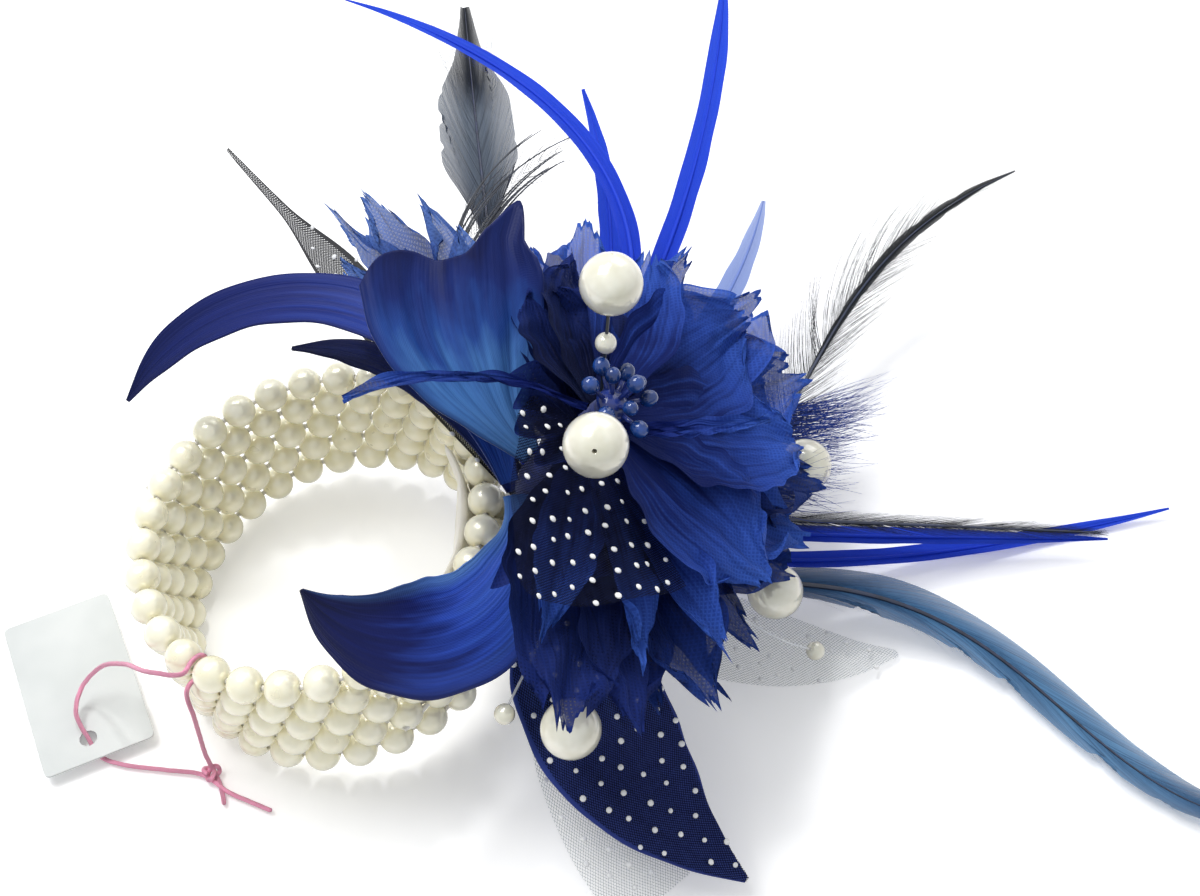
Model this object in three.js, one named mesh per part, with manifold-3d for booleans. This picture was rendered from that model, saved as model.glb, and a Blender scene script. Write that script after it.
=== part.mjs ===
// Wrist corsage: a stretch bracelet of pearl beads that carries a fabric flower with satin petals,
// organza, dotted tulle, pearl sprays and feathers, and a hang tag on a string.
// Millimetres, +Z up. It rests on its lower rim, so z = 0 is the surface that it lies on.
// +X runs from the bracelet towards the flower and +Y away from the side that it is looked at from.

import * as THREE from "three";
import { mergeVertices } from "three/addons/utils/BufferGeometryUtils.js";
import Module from "manifold-3d";

const wasm = await Module();
wasm.setup();

// Gap between pieces that touch on the real object
const seatGap = 0.3;

// Bracelet: rows of beads on elastic cord, nested half a bead apart, round a slightly oval wrist
const beadDiameter = 5.9;
const beadsPerRow = 30;
const ringAcross = 28.8;
const ringDeep = 30.3;
const beadHoleDiameter = 1.5;
const elasticDiameter = 0.9;
const rowPitch = 5.5;
const rowCount = 5;
const beadSides = 6;
const leanDegrees = 8.7;

// Pad that the wrist feels, and the felt that the flower is glued to
const liningThickness = 1.1;
const liningHeight = 21;
const liningFlatSink = 0.9;
const liningTurnShare = 0.18;
const feltRadius = 11.5;
const feltThickness = 2;

// Flower: a stem that leaves the felt, climbs a neck and ends in the stamens along the flower's axis
const axisAzimuthDegrees = 4;
const axisRiseDegrees = 55;
const flowerDepth = 24;
const neckLength = 18.7;
const neckAzimuthDegrees = 206;
const neckRiseDegrees = 83.3;
const stemFootRun = 2.6;
const stemRadius = 2.4;
const stemSides = 10;
const stemSteps = 12;
const stemTopDepth = 2.5;
const rootLift = 1;

// Reach of the flower's pieces: each piece below takes a share of one of these
const organzaRadius = 46;
const satinLength = 87;
const satinHalfWidth = 13;
const singleLength = 56;
const singleHalfWidth = 9;
const tulleEndLength = 88;
const tulleEndHalfWidth = 9;
const featherLength = 138;
const featherHalfWidth = 6;

// Cloth and net as thin sheets
const satinThickness = 0.6;
const organzaThickness = 0.5;
const tulleThickness = 0.5;
const vaneThickness = 0.5;

// Where the middle of the footprint lies from the middle of the wrist
const footprintX = 58.7;
const footprintY = 26.8;

const radians = THREE.MathUtils.degToRad;
const fullTurn = 2 * Math.PI;

// Bracelet sizes that follow from the ones above
const beadRadius = beadDiameter / 2;
const ringCurve = new THREE.EllipseCurve(0, 0, ringAcross, ringDeep);
ringCurve.arcLengthDivisions = 720;
const beadPitch = ringCurve.getLength() / beadsPerRow;
const lean = radians(leanDegrees);
const topRowHeight = ((rowCount - 1) * rowPitch) / 2;
const ringHeight = topRowHeight * Math.cos(lean) + ringAcross * Math.sin(lean) + beadRadius;

// Felt face and stem foot, square to the leaning bracelet
const feltFace = ringAcross + beadRadius + seatGap;
const feltNormal = new THREE.Vector3(Math.cos(lean), 0, Math.sin(lean));
const stemFoot = feltNormal.clone().multiplyScalar(feltFace + feltThickness + seatGap);
stemFoot.z += ringHeight;
const stemBend = stemFoot.clone().addScaledVector(feltNormal, stemFootRun);

function directionOf(azimuthDegrees, riseDegrees) {
  const [azimuth, rise] = [radians(azimuthDegrees), radians(riseDegrees)];
  return new THREE.Vector3(
    Math.cos(rise) * Math.cos(azimuth),
    Math.cos(rise) * Math.sin(azimuth),
    Math.sin(rise),
  );
}

const axisDirection = directionOf(axisAzimuthDegrees, axisRiseDegrees);
const neckTop = stemBend.clone().addScaledVector(directionOf(neckAzimuthDegrees, neckRiseDegrees), neckLength);
const flowerCentre = neckTop.clone().addScaledVector(axisDirection, flowerDepth);
const flowerUp = new THREE.Vector3(0, 0, 1).cross(axisDirection).normalize();
const flowerOut = flowerUp.clone().cross(axisDirection);

// A point of the flower: angle 0 points out and down, 90 away from the viewer, depth runs back down the stem
function flowerPoint(radius, angleDegrees, depth) {
  const angle = radians(angleDegrees);
  return flowerCentre.clone()
    .addScaledVector(flowerOut, radius * Math.cos(angle))
    .addScaledVector(flowerUp, radius * Math.sin(angle))
    .addScaledVector(axisDirection, -depth);
}

// Reads a list of shares as a smooth profile along 0 to 1
function shareAt(shares, along) {
  const place = Math.min(Math.max(along, 0), 1) * (shares.length - 1);
  const index = Math.min(Math.floor(place), shares.length - 2);
  const blend = (1 - Math.cos((place - index) * Math.PI)) / 2;
  return shares[index] * (1 - blend) + shares[index + 1] * blend;
}

function geometryFrom(points, faces) {
  const geometry = new THREE.BufferGeometry();
  geometry.setAttribute("position", new THREE.Float32BufferAttribute(points.flatMap((p) => [p.x, p.y, p.z]), 3));
  geometry.setIndex(faces.flat());
  geometry.computeVertexNormals();
  return geometry;
}

// A closed sheet of even thickness about a grid of middle points, grid[row][column]
function sheetSolid(grid, thickness, closedRound = false) {
  const rows = grid.length;
  const columns = grid[0].length;
  const wrap = (column) => (closedRound ? (column + columns) % columns : Math.min(Math.max(column, 0), columns - 1));
  const points = [];
  for (const side of [1, -1]) {
    grid.forEach((line, row) => line.forEach((point, column) => {
      const along = grid[Math.min(row + 1, rows - 1)][column].clone().sub(grid[Math.max(row - 1, 0)][column]);
      const across = line[wrap(column + 1)].clone().sub(line[wrap(column - 1)]);
      const normal = across.cross(along).normalize();
      points.push(point.clone().addScaledVector(normal, (side * thickness) / 2));
    }));
  }
  const under = rows * columns;
  const at = (row, column) => row * columns + wrap(column);
  const faces = [];
  const lastColumn = closedRound ? columns : columns - 1;
  for (let row = 0; row < rows - 1; row += 1) {
    for (let column = 0; column < lastColumn; column += 1) {
      const [a, b, c, d] = [at(row, column), at(row, column + 1), at(row + 1, column + 1), at(row + 1, column)];
      faces.push([a, b, c], [a, c, d]);
      faces.push([under + a, under + c, under + b], [under + a, under + d, under + c]);
    }
  }
  const rim = (a, b) => faces.push([a, under + a, b], [b, under + a, under + b]);
  for (let column = 0; column < lastColumn; column += 1) {
    rim(at(0, column), at(0, column + 1));
    rim(at(rows - 1, column + 1), at(rows - 1, column));
  }
  if (!closedRound) {
    for (let row = 0; row < rows - 1; row += 1) {
      rim(at(row + 1, 0), at(row, 0));
      rim(at(row, columns - 1), at(row + 1, columns - 1));
    }
  }
  return geometryFrom(points, faces);
}

// The middle line of a petal or feather: it leaves its root, turns and droops evenly, and can bow or sway
function spineFrames(root, shape, steps) {
  const { azimuth, rise, length, turn = 0, droop = 0, bow = 0, sway = 0, roll = 0, rollTurn = 0 } = shape;
  const frames = [];
  const point = root.clone();
  for (let step = 0; step <= steps; step += 1) {
    const along = step / steps;
    const bend = bow * Math.sin(Math.PI * along) + sway * Math.sin(fullTurn * along);
    const heading = radians(azimuth + turn * along + bend);
    const climb = radians(rise - droop * along);
    const tangent = new THREE.Vector3(
      Math.cos(climb) * Math.cos(heading),
      Math.cos(climb) * Math.sin(heading),
      Math.sin(climb),
    );
    const across = new THREE.Vector3(Math.sin(heading), -Math.cos(heading), 0)
      .applyAxisAngle(tangent, radians(roll + rollTurn * along));
    frames.push({ point: point.clone(), tangent, across, lift: across.clone().cross(tangent), along });
    point.addScaledVector(tangent, length / steps);
  }
  return frames;
}

// A petal or vane: wide as its shares say, cupped across, with a waved edge
function bladeSolid(root, shape, steps, columns, thickness) {
  const { halfWidth, widthShares, cupShare = 0, waves = 0, waveShare = 0 } = shape;
  const grid = spineFrames(root, shape, steps).map(({ point, across, lift, along }) => {
    const half = halfWidth * shareAt(widthShares, along);
    const line = [];
    for (let column = 0; column <= columns; column += 1) {
      const side = (2 * column) / columns - 1;
      const wave = waveShare * halfWidth * along * Math.sin(waves * Math.PI * side);
      line.push(point.clone()
        .addScaledVector(across, half * side)
        .addScaledVector(lift, cupShare * half * side * side + wave));
    }
    return line;
  });
  return sheetSolid(grid, thickness);
}

// A round body along a line of stations, each with its own radius
function sweptSolid(stations, sides) {
  const points = [];
  const faces = [];
  let normal = null;
  stations.forEach(({ point, radius }, index) => {
    const ahead = stations[Math.min(index + 1, stations.length - 1)].point;
    const behind = stations[Math.max(index - 1, 0)].point;
    const tangent = ahead.clone().sub(behind).normalize();
    if (normal === null) {
      const helper = Math.abs(tangent.z) > 0.9 ? new THREE.Vector3(1, 0, 0) : new THREE.Vector3(0, 0, 1);
      normal = helper.cross(tangent).normalize();
    }
    normal = normal.clone().addScaledVector(tangent, -normal.dot(tangent)).normalize();
    const side = tangent.clone().cross(normal);
    for (let corner = 0; corner < sides; corner += 1) {
      const angle = (corner / sides) * fullTurn;
      points.push(point.clone()
        .addScaledVector(normal, radius * Math.cos(angle))
        .addScaledVector(side, radius * Math.sin(angle)));
    }
  });
  for (let ring = 0; ring < stations.length - 1; ring += 1) {
    for (let corner = 0; corner < sides; corner += 1) {
      const [a, b] = [ring * sides + corner, ring * sides + ((corner + 1) % sides)];
      faces.push([a, b, b + sides], [a, b + sides, a + sides]);
    }
  }
  const last = (stations.length - 1) * sides;
  for (let corner = 1; corner < sides - 1; corner += 1) {
    faces.push([0, corner + 1, corner]);
    faces.push([last, last + corner, last + corner + 1]);
  }
  return geometryFrom(points, faces);
}

// Joins closed shapes that run into each other
function joined(shapes) {
  const solids = shapes.map((shape) => {
    const plain = shape.clone();
    plain.deleteAttribute("normal");
    plain.deleteAttribute("uv");
    const merged = mergeVertices(plain, 1e-4);
    return new wasm.Manifold(new wasm.Mesh({
      numProp: 3,
      vertProperties: new Float32Array(merged.attributes.position.array),
      triVerts: new Uint32Array(merged.index.array),
    }));
  });
  const whole = solids.reduce((sum, solid) => sum.add(solid)).getMesh();
  const geometry = new THREE.BufferGeometry();
  geometry.setAttribute("position", new THREE.Float32BufferAttribute(whole.vertProperties, 3));
  geometry.setIndex(Array.from(whole.triVerts));
  geometry.computeVertexNormals();
  return geometry;
}

function finish(color, roughness, metalness = 0) {
  return new THREE.MeshStandardMaterial({ color, roughness, metalness, side: THREE.DoubleSide });
}

const pearlFinish = finish(0xf3eee2, 0.22);
const satinFinish = finish(0x1f3d9e, 0.45);
const satinDeepFinish = finish(0x141b4d, 0.5);
const organzaFinish = finish(0x16318f, 0.6);
const tulleFinish = finish(0x101233, 0.8);
const greyTulleFinish = finish(0x8a8d94, 0.85);
const biotFinish = finish(0x1737c4, 0.5);
const paleBiotFinish = finish(0x93a5d6, 0.55);
const darkFeatherFinish = finish(0x1b2027, 0.6);
const trailingFeatherFinish = finish(0x17325f, 0.55);
const wireFinish = finish(0x10141c, 0.4);
const stamenFinish = finish(0x0f2f8c, 0.2);
const liningFinish = finish(0xf5f0e6, 0.8);
const feltFinish = finish(0xf2f0ea, 0.95);
const stemFinish = finish(0x15204a, 0.8);
const cardFinish = finish(0xf7f7f5, 0.7);
const stringFinish = finish(0xe87fa0, 0.8);

const corsage = new THREE.Group();
corsage.position.set(-footprintX, -footprintY, 0);
const bracelet = new THREE.Group();
bracelet.position.set(0, 0, ringHeight);
bracelet.rotation.y = -lean;
corsage.add(bracelet);

function add(group, name, geometry, material) {
  const mesh = new THREE.Mesh(geometry, material);
  mesh.name = name;
  group.add(mesh);
  return mesh;
}

// Rows of beads threaded on elastic, in four arcs that part when the bracelet stretches over a hand
const arcs = [
  { name: "flower_side", beads: 7, middleTurn: 0 },
  { name: "near_side", beads: 8, middleTurn: 0.75 },
  { name: "wrist_side", beads: 7, middleTurn: 0.5 },
  { name: "far_side", beads: 8, middleTurn: 0.25 },
];
const beadSliceDegrees = [52, 90, 128];

// A point of the ring, by how far round it lies and how far outside the cord
function ringPoint(turn, height, outside = 0) {
  const share = ((turn % 1) + 1) % 1;
  const point = ringCurve.getPointAt(share);
  const tangent = ringCurve.getTangentAt(share);
  return new THREE.Vector3(point.x + tangent.y * outside, point.y - tangent.x * outside, height);
}

function beadTurn(arc, row, bead) {
  const nest = row % 2 === 0 ? 0.25 : -0.25;
  return arc.middleTurn + (bead - (arc.beads - 1) / 2 + nest) / beadsPerRow;
}

function beadArc(arc, row) {
  const height = topRowHeight - row * rowPitch;
  const holeRadius = beadHoleDiameter / 2;
  const holeShift = Math.sqrt(beadRadius ** 2 - holeRadius ** 2);
  const turnPerLength = 1 / (beadsPerRow * beadPitch);
  const stations = [];
  const addStation = (centre, shift, radius) => {
    stations.push({ point: ringPoint(centre + shift * turnPerLength, height), radius });
  };
  for (let bead = 0; bead < arc.beads; bead += 1) {
    const centre = beadTurn(arc, row, bead);
    if (bead === 0) addStation(centre, -holeShift, holeRadius);
    else addStation(centre, -beadPitch / 2, elasticDiameter / 2);
    for (const slice of beadSliceDegrees) {
      addStation(centre, -beadRadius * Math.cos(radians(slice)), beadRadius * Math.sin(radians(slice)));
    }
    if (bead === arc.beads - 1) addStation(centre, holeShift, holeRadius);
  }
  return sweptSolid(stations, beadSides);
}

for (const arc of arcs) {
  for (let row = 0; row < rowCount; row += 1) {
    add(bracelet, `beads_${arc.name}_${row + 1}`, beadArc(arc, row), pearlFinish);
  }
}

// Cream lining behind the flower: it follows the beads and is flat where the wrist bears on it
const liningSteps = 12;
function liningSolid() {
  const outside = -(beadRadius + seatGap);
  const outer = [];
  const inner = [];
  const flatFace = ringAcross + outside - liningThickness - liningFlatSink;
  for (let step = 0; step <= liningSteps; step += 1) {
    const turn = liningTurnShare * (step / liningSteps - 0.5);
    outer.push(ringPoint(turn, 0, outside));
    const face = ringPoint(turn, 0, outside - liningThickness);
    inner.push(new THREE.Vector2(Math.min(face.x, flatFace), face.y));
  }
  const outline = new THREE.Shape(outer.map((point) => new THREE.Vector2(point.x, point.y)).concat(inner.reverse()));
  const geometry = new THREE.ExtrudeGeometry(outline, { depth: liningHeight, bevelEnabled: false });
  geometry.translate(0, 0, -liningHeight / 2);
  return geometry;
}
add(bracelet, "wrist_lining", liningSolid(), liningFinish);

// Round felt outside the beads
const felt = new THREE.CylinderGeometry(feltRadius, feltRadius, feltThickness, 24);
felt.rotateZ(Math.PI / 2);
const feltMesh = add(bracelet, "felt_base", felt, feltFinish);
feltMesh.position.set(feltFace + feltThickness / 2, 0, 0);

// Tape-wrapped stem from the felt to the stamens
const stemLine = new THREE.CatmullRomCurve3([
  stemFoot,
  stemBend,
  neckTop,
  flowerPoint(0, 0, (flowerDepth + stemTopDepth) / 2),
  flowerPoint(0, 0, stemTopDepth),
], false, "centripetal");
const stemPoints = [stemFoot, stemFoot.clone().addScaledVector(feltNormal, seatGap)]
  .concat(stemLine.getSpacedPoints(stemSteps).slice(1));
const stemStations = stemPoints.map((point) => ({ point, radius: stemRadius }));
add(corsage, "stem_wrap", sweptSolid(stemStations, stemSides), stemFinish);

// Where a piece leaves the stem: how far up it, on which side of it, and how far off its tape
function stemRoot({ rootShare, rootAngle, rootLiftShare }) {
  const tangent = stemLine.getTangentAt(rootShare);
  const out = flowerUp.clone().cross(tangent).normalize();
  const angle = radians(rootAngle);
  const radius = stemRadius + seatGap + rootLift * rootLiftShare;
  return stemLine.getPointAt(rootShare)
    .addScaledVector(out, radius * Math.cos(angle))
    .addScaledVector(flowerUp, radius * Math.sin(angle));
}

// A blade rooted on the stem, with its length and half width as shares of its kind's own
function rootedBlade(shape, length, halfWidth, steps, columns, thickness) {
  const sized = { ...shape, length: length * shape.lengthShare, halfWidth: halfWidth * shape.breadthShare };
  return bladeSolid(stemRoot(shape), sized, steps, columns, thickness);
}

// Stamens: glossy beads on short stalks out of a button at the end of the stem
const stamenBeadRadius = 1.35;
const stamenStalkRadius = 0.4;
const stamenLength = 4.6;
const buttonRadius = 2.9;
const buttonShoulderShares = [0.8, 0.55];
const buttonHeightShare = 0.8;
const stamenAzimuths = [20, 75, 125, 180, 235, 300];
const stamenSpreadDegrees = 58;
function stamenSolid() {
  const base = flowerPoint(0, 0, stemTopDepth - seatGap);
  const buttonShell = new THREE.LatheGeometry([
    new THREE.Vector2(0, 0),
    new THREE.Vector2(buttonRadius, 0),
    new THREE.Vector2(buttonRadius * buttonShoulderShares[0], buttonRadius * buttonShoulderShares[1]),
    new THREE.Vector2(0, buttonRadius * buttonHeightShare),
  ], 10);
  const toAxis = new THREE.Quaternion().setFromUnitVectors(new THREE.Vector3(0, 1, 0), axisDirection);
  buttonShell.applyQuaternion(toAxis);
  buttonShell.translate(base.x, base.y, base.z);
  const shapes = [buttonShell];
  const spread = radians(stamenSpreadDegrees);
  const tips = stamenAzimuths.map((azimuth) => axisDirection.clone().multiplyScalar(Math.cos(spread))
    .addScaledVector(flowerOut, Math.sin(spread) * Math.cos(radians(azimuth)))
    .addScaledVector(flowerUp, Math.sin(spread) * Math.sin(radians(azimuth))));
  tips.push(axisDirection.clone());
  for (const direction of tips) {
    const tip = base.clone().addScaledVector(direction, stamenLength);
    shapes.push(sweptSolid([
      { point: base.clone().addScaledVector(direction, buttonRadius / 2), radius: stamenStalkRadius },
      { point: tip, radius: stamenStalkRadius },
    ], 5));
    const bead = new THREE.SphereGeometry(stamenBeadRadius, 7, 4);
    bead.translate(tip.x, tip.y, tip.z);
    shapes.push(bead);
  }
  return joined(shapes);
}
add(corsage, "stamen_cluster", stamenSolid(), stamenFinish);

// Organza: gathered layers with pointed petals, each set behind the last
const organzaLayers = [
  {
    name: "organza_layer_1", depthShare: 0.23, spreadShare: 0.74, sinkShare: -0.043, from: -46, to: 106,
    petals: 4, reachShares: [1, 1],
  },
  {
    name: "organza_layer_2", depthShare: 0.417, spreadShare: 0.935, sinkShare: 0.013, from: -104, to: 61,
    petals: 5, reachShares: [1, 1, 1],
  },
  {
    name: "organza_layer_3", depthShare: 0.583, spreadShare: 1, sinkShare: 0.043, from: -98, to: 46,
    petals: 5, reachShares: [1.22, 1, 1, 1],
  },
  {
    name: "organza_back_fan", depthShare: 0.77, spreadShare: 0.96, sinkShare: 0.2, from: -64, to: -32,
    petals: 2, reachShares: [1, 1],
  },
];
const organzaNotchShare = 0.3;
const organzaWaveHeight = 1.1;
const organzaRadialSteps = 4;
const organzaStepsPerPetal = 6;
const organzaPointPower = 1.5;
function organzaSolid(layer) {
  const rootRadius = stemRadius + seatGap;
  const columns = layer.petals * organzaStepsPerPetal;
  const grid = [];
  for (let row = 0; row <= organzaRadialSteps; row += 1) {
    const line = [];
    const along = row / organzaRadialSteps;
    for (let column = 0; column <= columns; column += 1) {
      const round = column / columns;
      const angle = layer.to + (layer.from - layer.to) * round;
      const inPetal = (column % organzaStepsPerPetal) / organzaStepsPerPetal;
      const lobe = 1 - Math.abs(2 * inPetal - 1) ** organzaPointPower;
      const notch = 1 - organzaNotchShare * (1 - lobe) * along;
      const reach = organzaRadius * layer.spreadShare * shareAt(layer.reachShares, round) * notch;
      const radius = rootRadius + (reach - rootRadius) * along;
      const wave = organzaWaveHeight * along * Math.cos((column / organzaStepsPerPetal) * fullTurn);
      const depth = flowerDepth * layer.depthShare + organzaRadius * layer.sinkShare * along * along - wave;
      line.push(flowerPoint(radius, angle, depth));
    }
    grid.push(line);
  }
  return sheetSolid(grid, organzaThickness);
}
for (const layer of organzaLayers) add(corsage, layer.name, organzaSolid(layer), organzaFinish);

// Satin petals, rooted around the stem
const satinPetals = [
  {
    name: "satin_arch_petal", rootAngle: 190, rootShare: 0.5, rootLiftShare: 0.9, finish: satinFinish,
    azimuth: 112, rise: 31, lengthShare: 1, turn: 110, droop: 80, breadthShare: 0.369,
    widthShares: [0.3, 0.8, 1, 1, 0.95, 0.75, 0.06], cupShare: 0.25, roll: -8,
  },
  {
    name: "satin_fan_petal", rootAngle: 178, rootShare: 0.62, rootLiftShare: 0.5, finish: satinFinish,
    azimuth: 145, rise: 38, lengthShare: 0.448, turn: -70, droop: 14, breadthShare: 1,
    widthShares: [0.14, 0.42, 0.78, 1, 0.92, 0.5], cupShare: 0.3, waves: 2, waveShare: 0.09, roll: 6,
  },
  {
    name: "satin_curl_petal", rootAngle: -130, rootShare: 0.5, rootLiftShare: 1, finish: satinFinish,
    azimuth: -76, rise: -17, lengthShare: 0.598, turn: -151, droop: -59, breadthShare: 0.654,
    widthShares: [0.22, 0.45, 0.8, 1, 0.95, 0.62, 0.06], cupShare: -0.3, roll: -20, rollTurn: -20,
  },
  {
    name: "satin_tail_petal", rootAngle: 150, rootShare: 0.4, rootLiftShare: 0.5, finish: satinDeepFinish,
    azimuth: 119, rise: 18, lengthShare: 0.575, turn: 54, droop: 35, breadthShare: 0.262,
    widthShares: [0.4, 0.8, 1, 0.8, 0.1], cupShare: 0.2,
  },
  {
    name: "satin_lower_petal", rootAngle: -80, rootShare: 0.26, rootLiftShare: 0.7, finish: satinDeepFinish,
    azimuth: -84, rise: -26, lengthShare: 0.759, turn: 62, droop: 0, breadthShare: 0.885,
    widthShares: [0.16, 0.5, 0.92, 1, 0.82, 0.45, 0.04], cupShare: 0.12, roll: 10,
  },
];
const petalSteps = 12;
const petalColumns = 4;
for (const petal of satinPetals) {
  const blade = rootedBlade(petal, satinLength, satinHalfWidth, petalSteps, petalColumns, satinThickness);
  add(corsage, petal.name, blade, petal.finish);
}

// Single organza petals: one behind the satin, and two narrow folded ones across the flower's face
const organzaSlips = [
  {
    name: "organza_rear_fan", rootAngle: 128, rootShare: 0.53, rootLiftShare: 0.7,
    azimuth: 116, rise: 17, lengthShare: 1, turn: 12, droop: 16, breadthShare: 1,
    widthShares: [0.15, 0.4, 0.75, 1, 0.95, 0.6], cupShare: 0.2, waves: 3, waveShare: 0.16,
  },
  {
    name: "organza_slip_left", rootAngle: 184, rootShare: 0.96, rootLiftShare: 0.5,
    azimuth: 170, rise: 29, lengthShare: 0.661, turn: 22, droop: 48, breadthShare: 0.189,
    widthShares: [0.5, 0.8, 1, 0.9, 0.25], cupShare: 0.8,
  },
  {
    name: "organza_slip_right", rootAngle: -40, rootShare: 0.96, rootLiftShare: 0.5,
    azimuth: -18, rise: 14, lengthShare: 0.411, turn: 32, droop: 6, breadthShare: 0.189,
    widthShares: [0.5, 0.8, 1, 0.9, 0.25], cupShare: 0.8,
  },
];
const slipSteps = 8;
const slipColumns = 2;
for (const slip of organzaSlips) {
  const blade = rootedBlade(slip, singleLength, singleHalfWidth, slipSteps, slipColumns, organzaThickness);
  add(corsage, slip.name, blade, organzaFinish);
}

// Dotted tulle: one fan over the face and three loose ends behind the petals
const tulleFanFromDegrees = -52;
const tulleFanToDegrees = -152;
const tulleFanDepthShare = 0.3;
const tulleFanSinkShare = -0.033;
const tulleFanRadius = 36;
const tulleFanReachShares = [0.81, 0.9, 1, 0.98, 0.78, 0.53];
const tulleFanColumns = 12;
const tulleFanRows = 4;
function tulleFanSolid() {
  const rootRadius = stemRadius + seatGap;
  const grid = [];
  for (let row = 0; row <= tulleFanRows; row += 1) {
    const line = [];
    const along = row / tulleFanRows;
    for (let column = 0; column <= tulleFanColumns; column += 1) {
      const round = column / tulleFanColumns;
      const angle = tulleFanFromDegrees + (tulleFanToDegrees - tulleFanFromDegrees) * round;
      const reach = tulleFanRadius * shareAt(tulleFanReachShares, round);
      const depth = flowerDepth * tulleFanDepthShare + tulleFanRadius * tulleFanSinkShare * along;
      line.push(flowerPoint(rootRadius + (reach - rootRadius) * along, angle, depth));
    }
    grid.push(line);
  }
  return sheetSolid(grid, tulleThickness);
}
add(corsage, "tulle_front_fan", tulleFanSolid(), tulleFinish);

const tulleEnds = [
  {
    name: "tulle_corner_left", rootAngle: 140, rootShare: 0.36, rootLiftShare: 0.5, finish: tulleFinish,
    azimuth: 126, rise: 5, lengthShare: 1, turn: 5, droop: -4, breadthShare: 0.356,
    widthShares: [0.4, 0.8, 1, 1, 0.5, 0.06], cupShare: 0.3,
  },
  {
    name: "tulle_end_lower", rootAngle: -90, rootShare: 0.17, rootLiftShare: 0.7, finish: greyTulleFinish,
    azimuth: -89, rise: -30, lengthShare: 0.682, turn: 40, droop: -16, breadthShare: 0.889,
    widthShares: [0.14, 0.3, 0.7, 0.95, 1, 0.9], cupShare: 0.05,
  },
  {
    name: "tulle_end_right", rootAngle: -25, rootShare: 0.1, rootLiftShare: 0.5, finish: greyTulleFinish,
    azimuth: -25, rise: -40, lengthShare: 0.739, turn: 40, droop: -37, breadthShare: 1,
    widthShares: [0.15, 0.6, 1, 0.9, 0.6, 0.1], cupShare: 0.1,
  },
];
for (const end of tulleEnds) {
  const blade = rootedBlade(end, tulleEndLength, tulleEndHalfWidth, petalSteps, slipColumns, tulleThickness);
  add(corsage, end.name, blade, end.finish);
}

// Feathers: narrow trimmed vanes, and full ones that taper from a bare quill
const trimmedShares = [0.35, 0.5, 0.8, 1, 1, 0.9, 0.65, 0.15];
const plumeShares = [0.1, 0.1, 0.35, 0.9, 1, 0.75, 0.4, 0.08];
const trailingShares = [0.15, 0.3, 0.7, 1, 0.95, 0.9, 0.8, 0.5];
const feathers = [
  {
    name: "biot_bent", rootAngle: 112, rootShare: 0.5, rootLiftShare: 0.5, finish: biotFinish,
    azimuth: 43, rise: 9, lengthShare: 1, turn: 107, droop: 16, bow: 23, breadthShare: 0.317, widthShares: trimmedShares,
  },
  {
    name: "biot_short", rootAngle: 86, rootShare: 0.43, rootLiftShare: 0.5, finish: biotFinish,
    azimuth: 64, rise: -15, lengthShare: 0.638, turn: 45, droop: -36, breadthShare: 0.333, widthShares: trimmedShares,
  },
  {
    name: "biot_tall", rootAngle: 60, rootShare: 0.38, rootLiftShare: 0.5, finish: biotFinish,
    azimuth: 62, rise: -3, lengthShare: 0.848, turn: 23, droop: -10, breadthShare: 0.333, widthShares: trimmedShares,
  },
  {
    name: "biot_pale", rootAngle: 34, rootShare: 0.33, rootLiftShare: 0.5, finish: paleBiotFinish,
    azimuth: 46, rise: -6, lengthShare: 0.572, turn: 31, droop: 1, breadthShare: 0.4, widthShares: trimmedShares,
  },
  {
    name: "hackle_dark", rootAngle: 115, rootShare: 0.34, rootLiftShare: 0.5, finish: darkFeatherFinish,
    azimuth: 99, rise: 0, lengthShare: 0.79, turn: -3, droop: -10, breadthShare: 1, widthShares: plumeShares,
  },
  {
    name: "stripped_fibres", rootAngle: 125, rootShare: 0.47, rootLiftShare: 0.5, finish: darkFeatherFinish,
    azimuth: 127, rise: 12, lengthShare: 0.536, turn: -95, droop: 17, breadthShare: 0.267, widthShares: trimmedShares,
  },
  {
    name: "coque_curled", rootAngle: 20, rootShare: 0.3, rootLiftShare: 0.5, finish: darkFeatherFinish,
    azimuth: 8, rise: -29, lengthShare: 0.942, turn: -6, droop: -57, bow: 58, breadthShare: 0.567,
    widthShares: plumeShares,
  },
  {
    name: "coque_low", rootAngle: 12, rootShare: 0.24, rootLiftShare: 0.5, finish: darkFeatherFinish,
    azimuth: 14, rise: -23, lengthShare: 0.746, turn: -13, droop: -17, breadthShare: 0.367, widthShares: trimmedShares,
  },
  {
    name: "biot_low_far", rootAngle: 0, rootShare: 0.18, rootLiftShare: 0.5, finish: biotFinish,
    azimuth: 16, rise: -28, lengthShare: 0.746, turn: -17, droop: -29, breadthShare: 0.3, widthShares: trimmedShares,
  },
  {
    name: "biot_low_near", rootAngle: -12, rootShare: 0.14, rootLiftShare: 0.5, finish: biotFinish,
    azimuth: 6, rise: -32, lengthShare: 0.855, turn: 4, droop: -41, breadthShare: 0.3, widthShares: trimmedShares,
  },
  {
    name: "feather_trailing", rootAngle: -35, rootShare: 0.24, rootLiftShare: 0.5, finish: trailingFeatherFinish,
    azimuth: -15, rise: -34.5, lengthShare: 0.899, turn: -7, droop: -43, sway: 28, breadthShare: 0.667,
    widthShares: trailingShares,
  },
];
const featherSteps = 16;
for (const feather of feathers) {
  const blade = rootedBlade(feather, featherLength, featherHalfWidth, featherSteps, slipColumns, vaneThickness);
  add(corsage, feather.name, blade, feather.finish);
}

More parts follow.
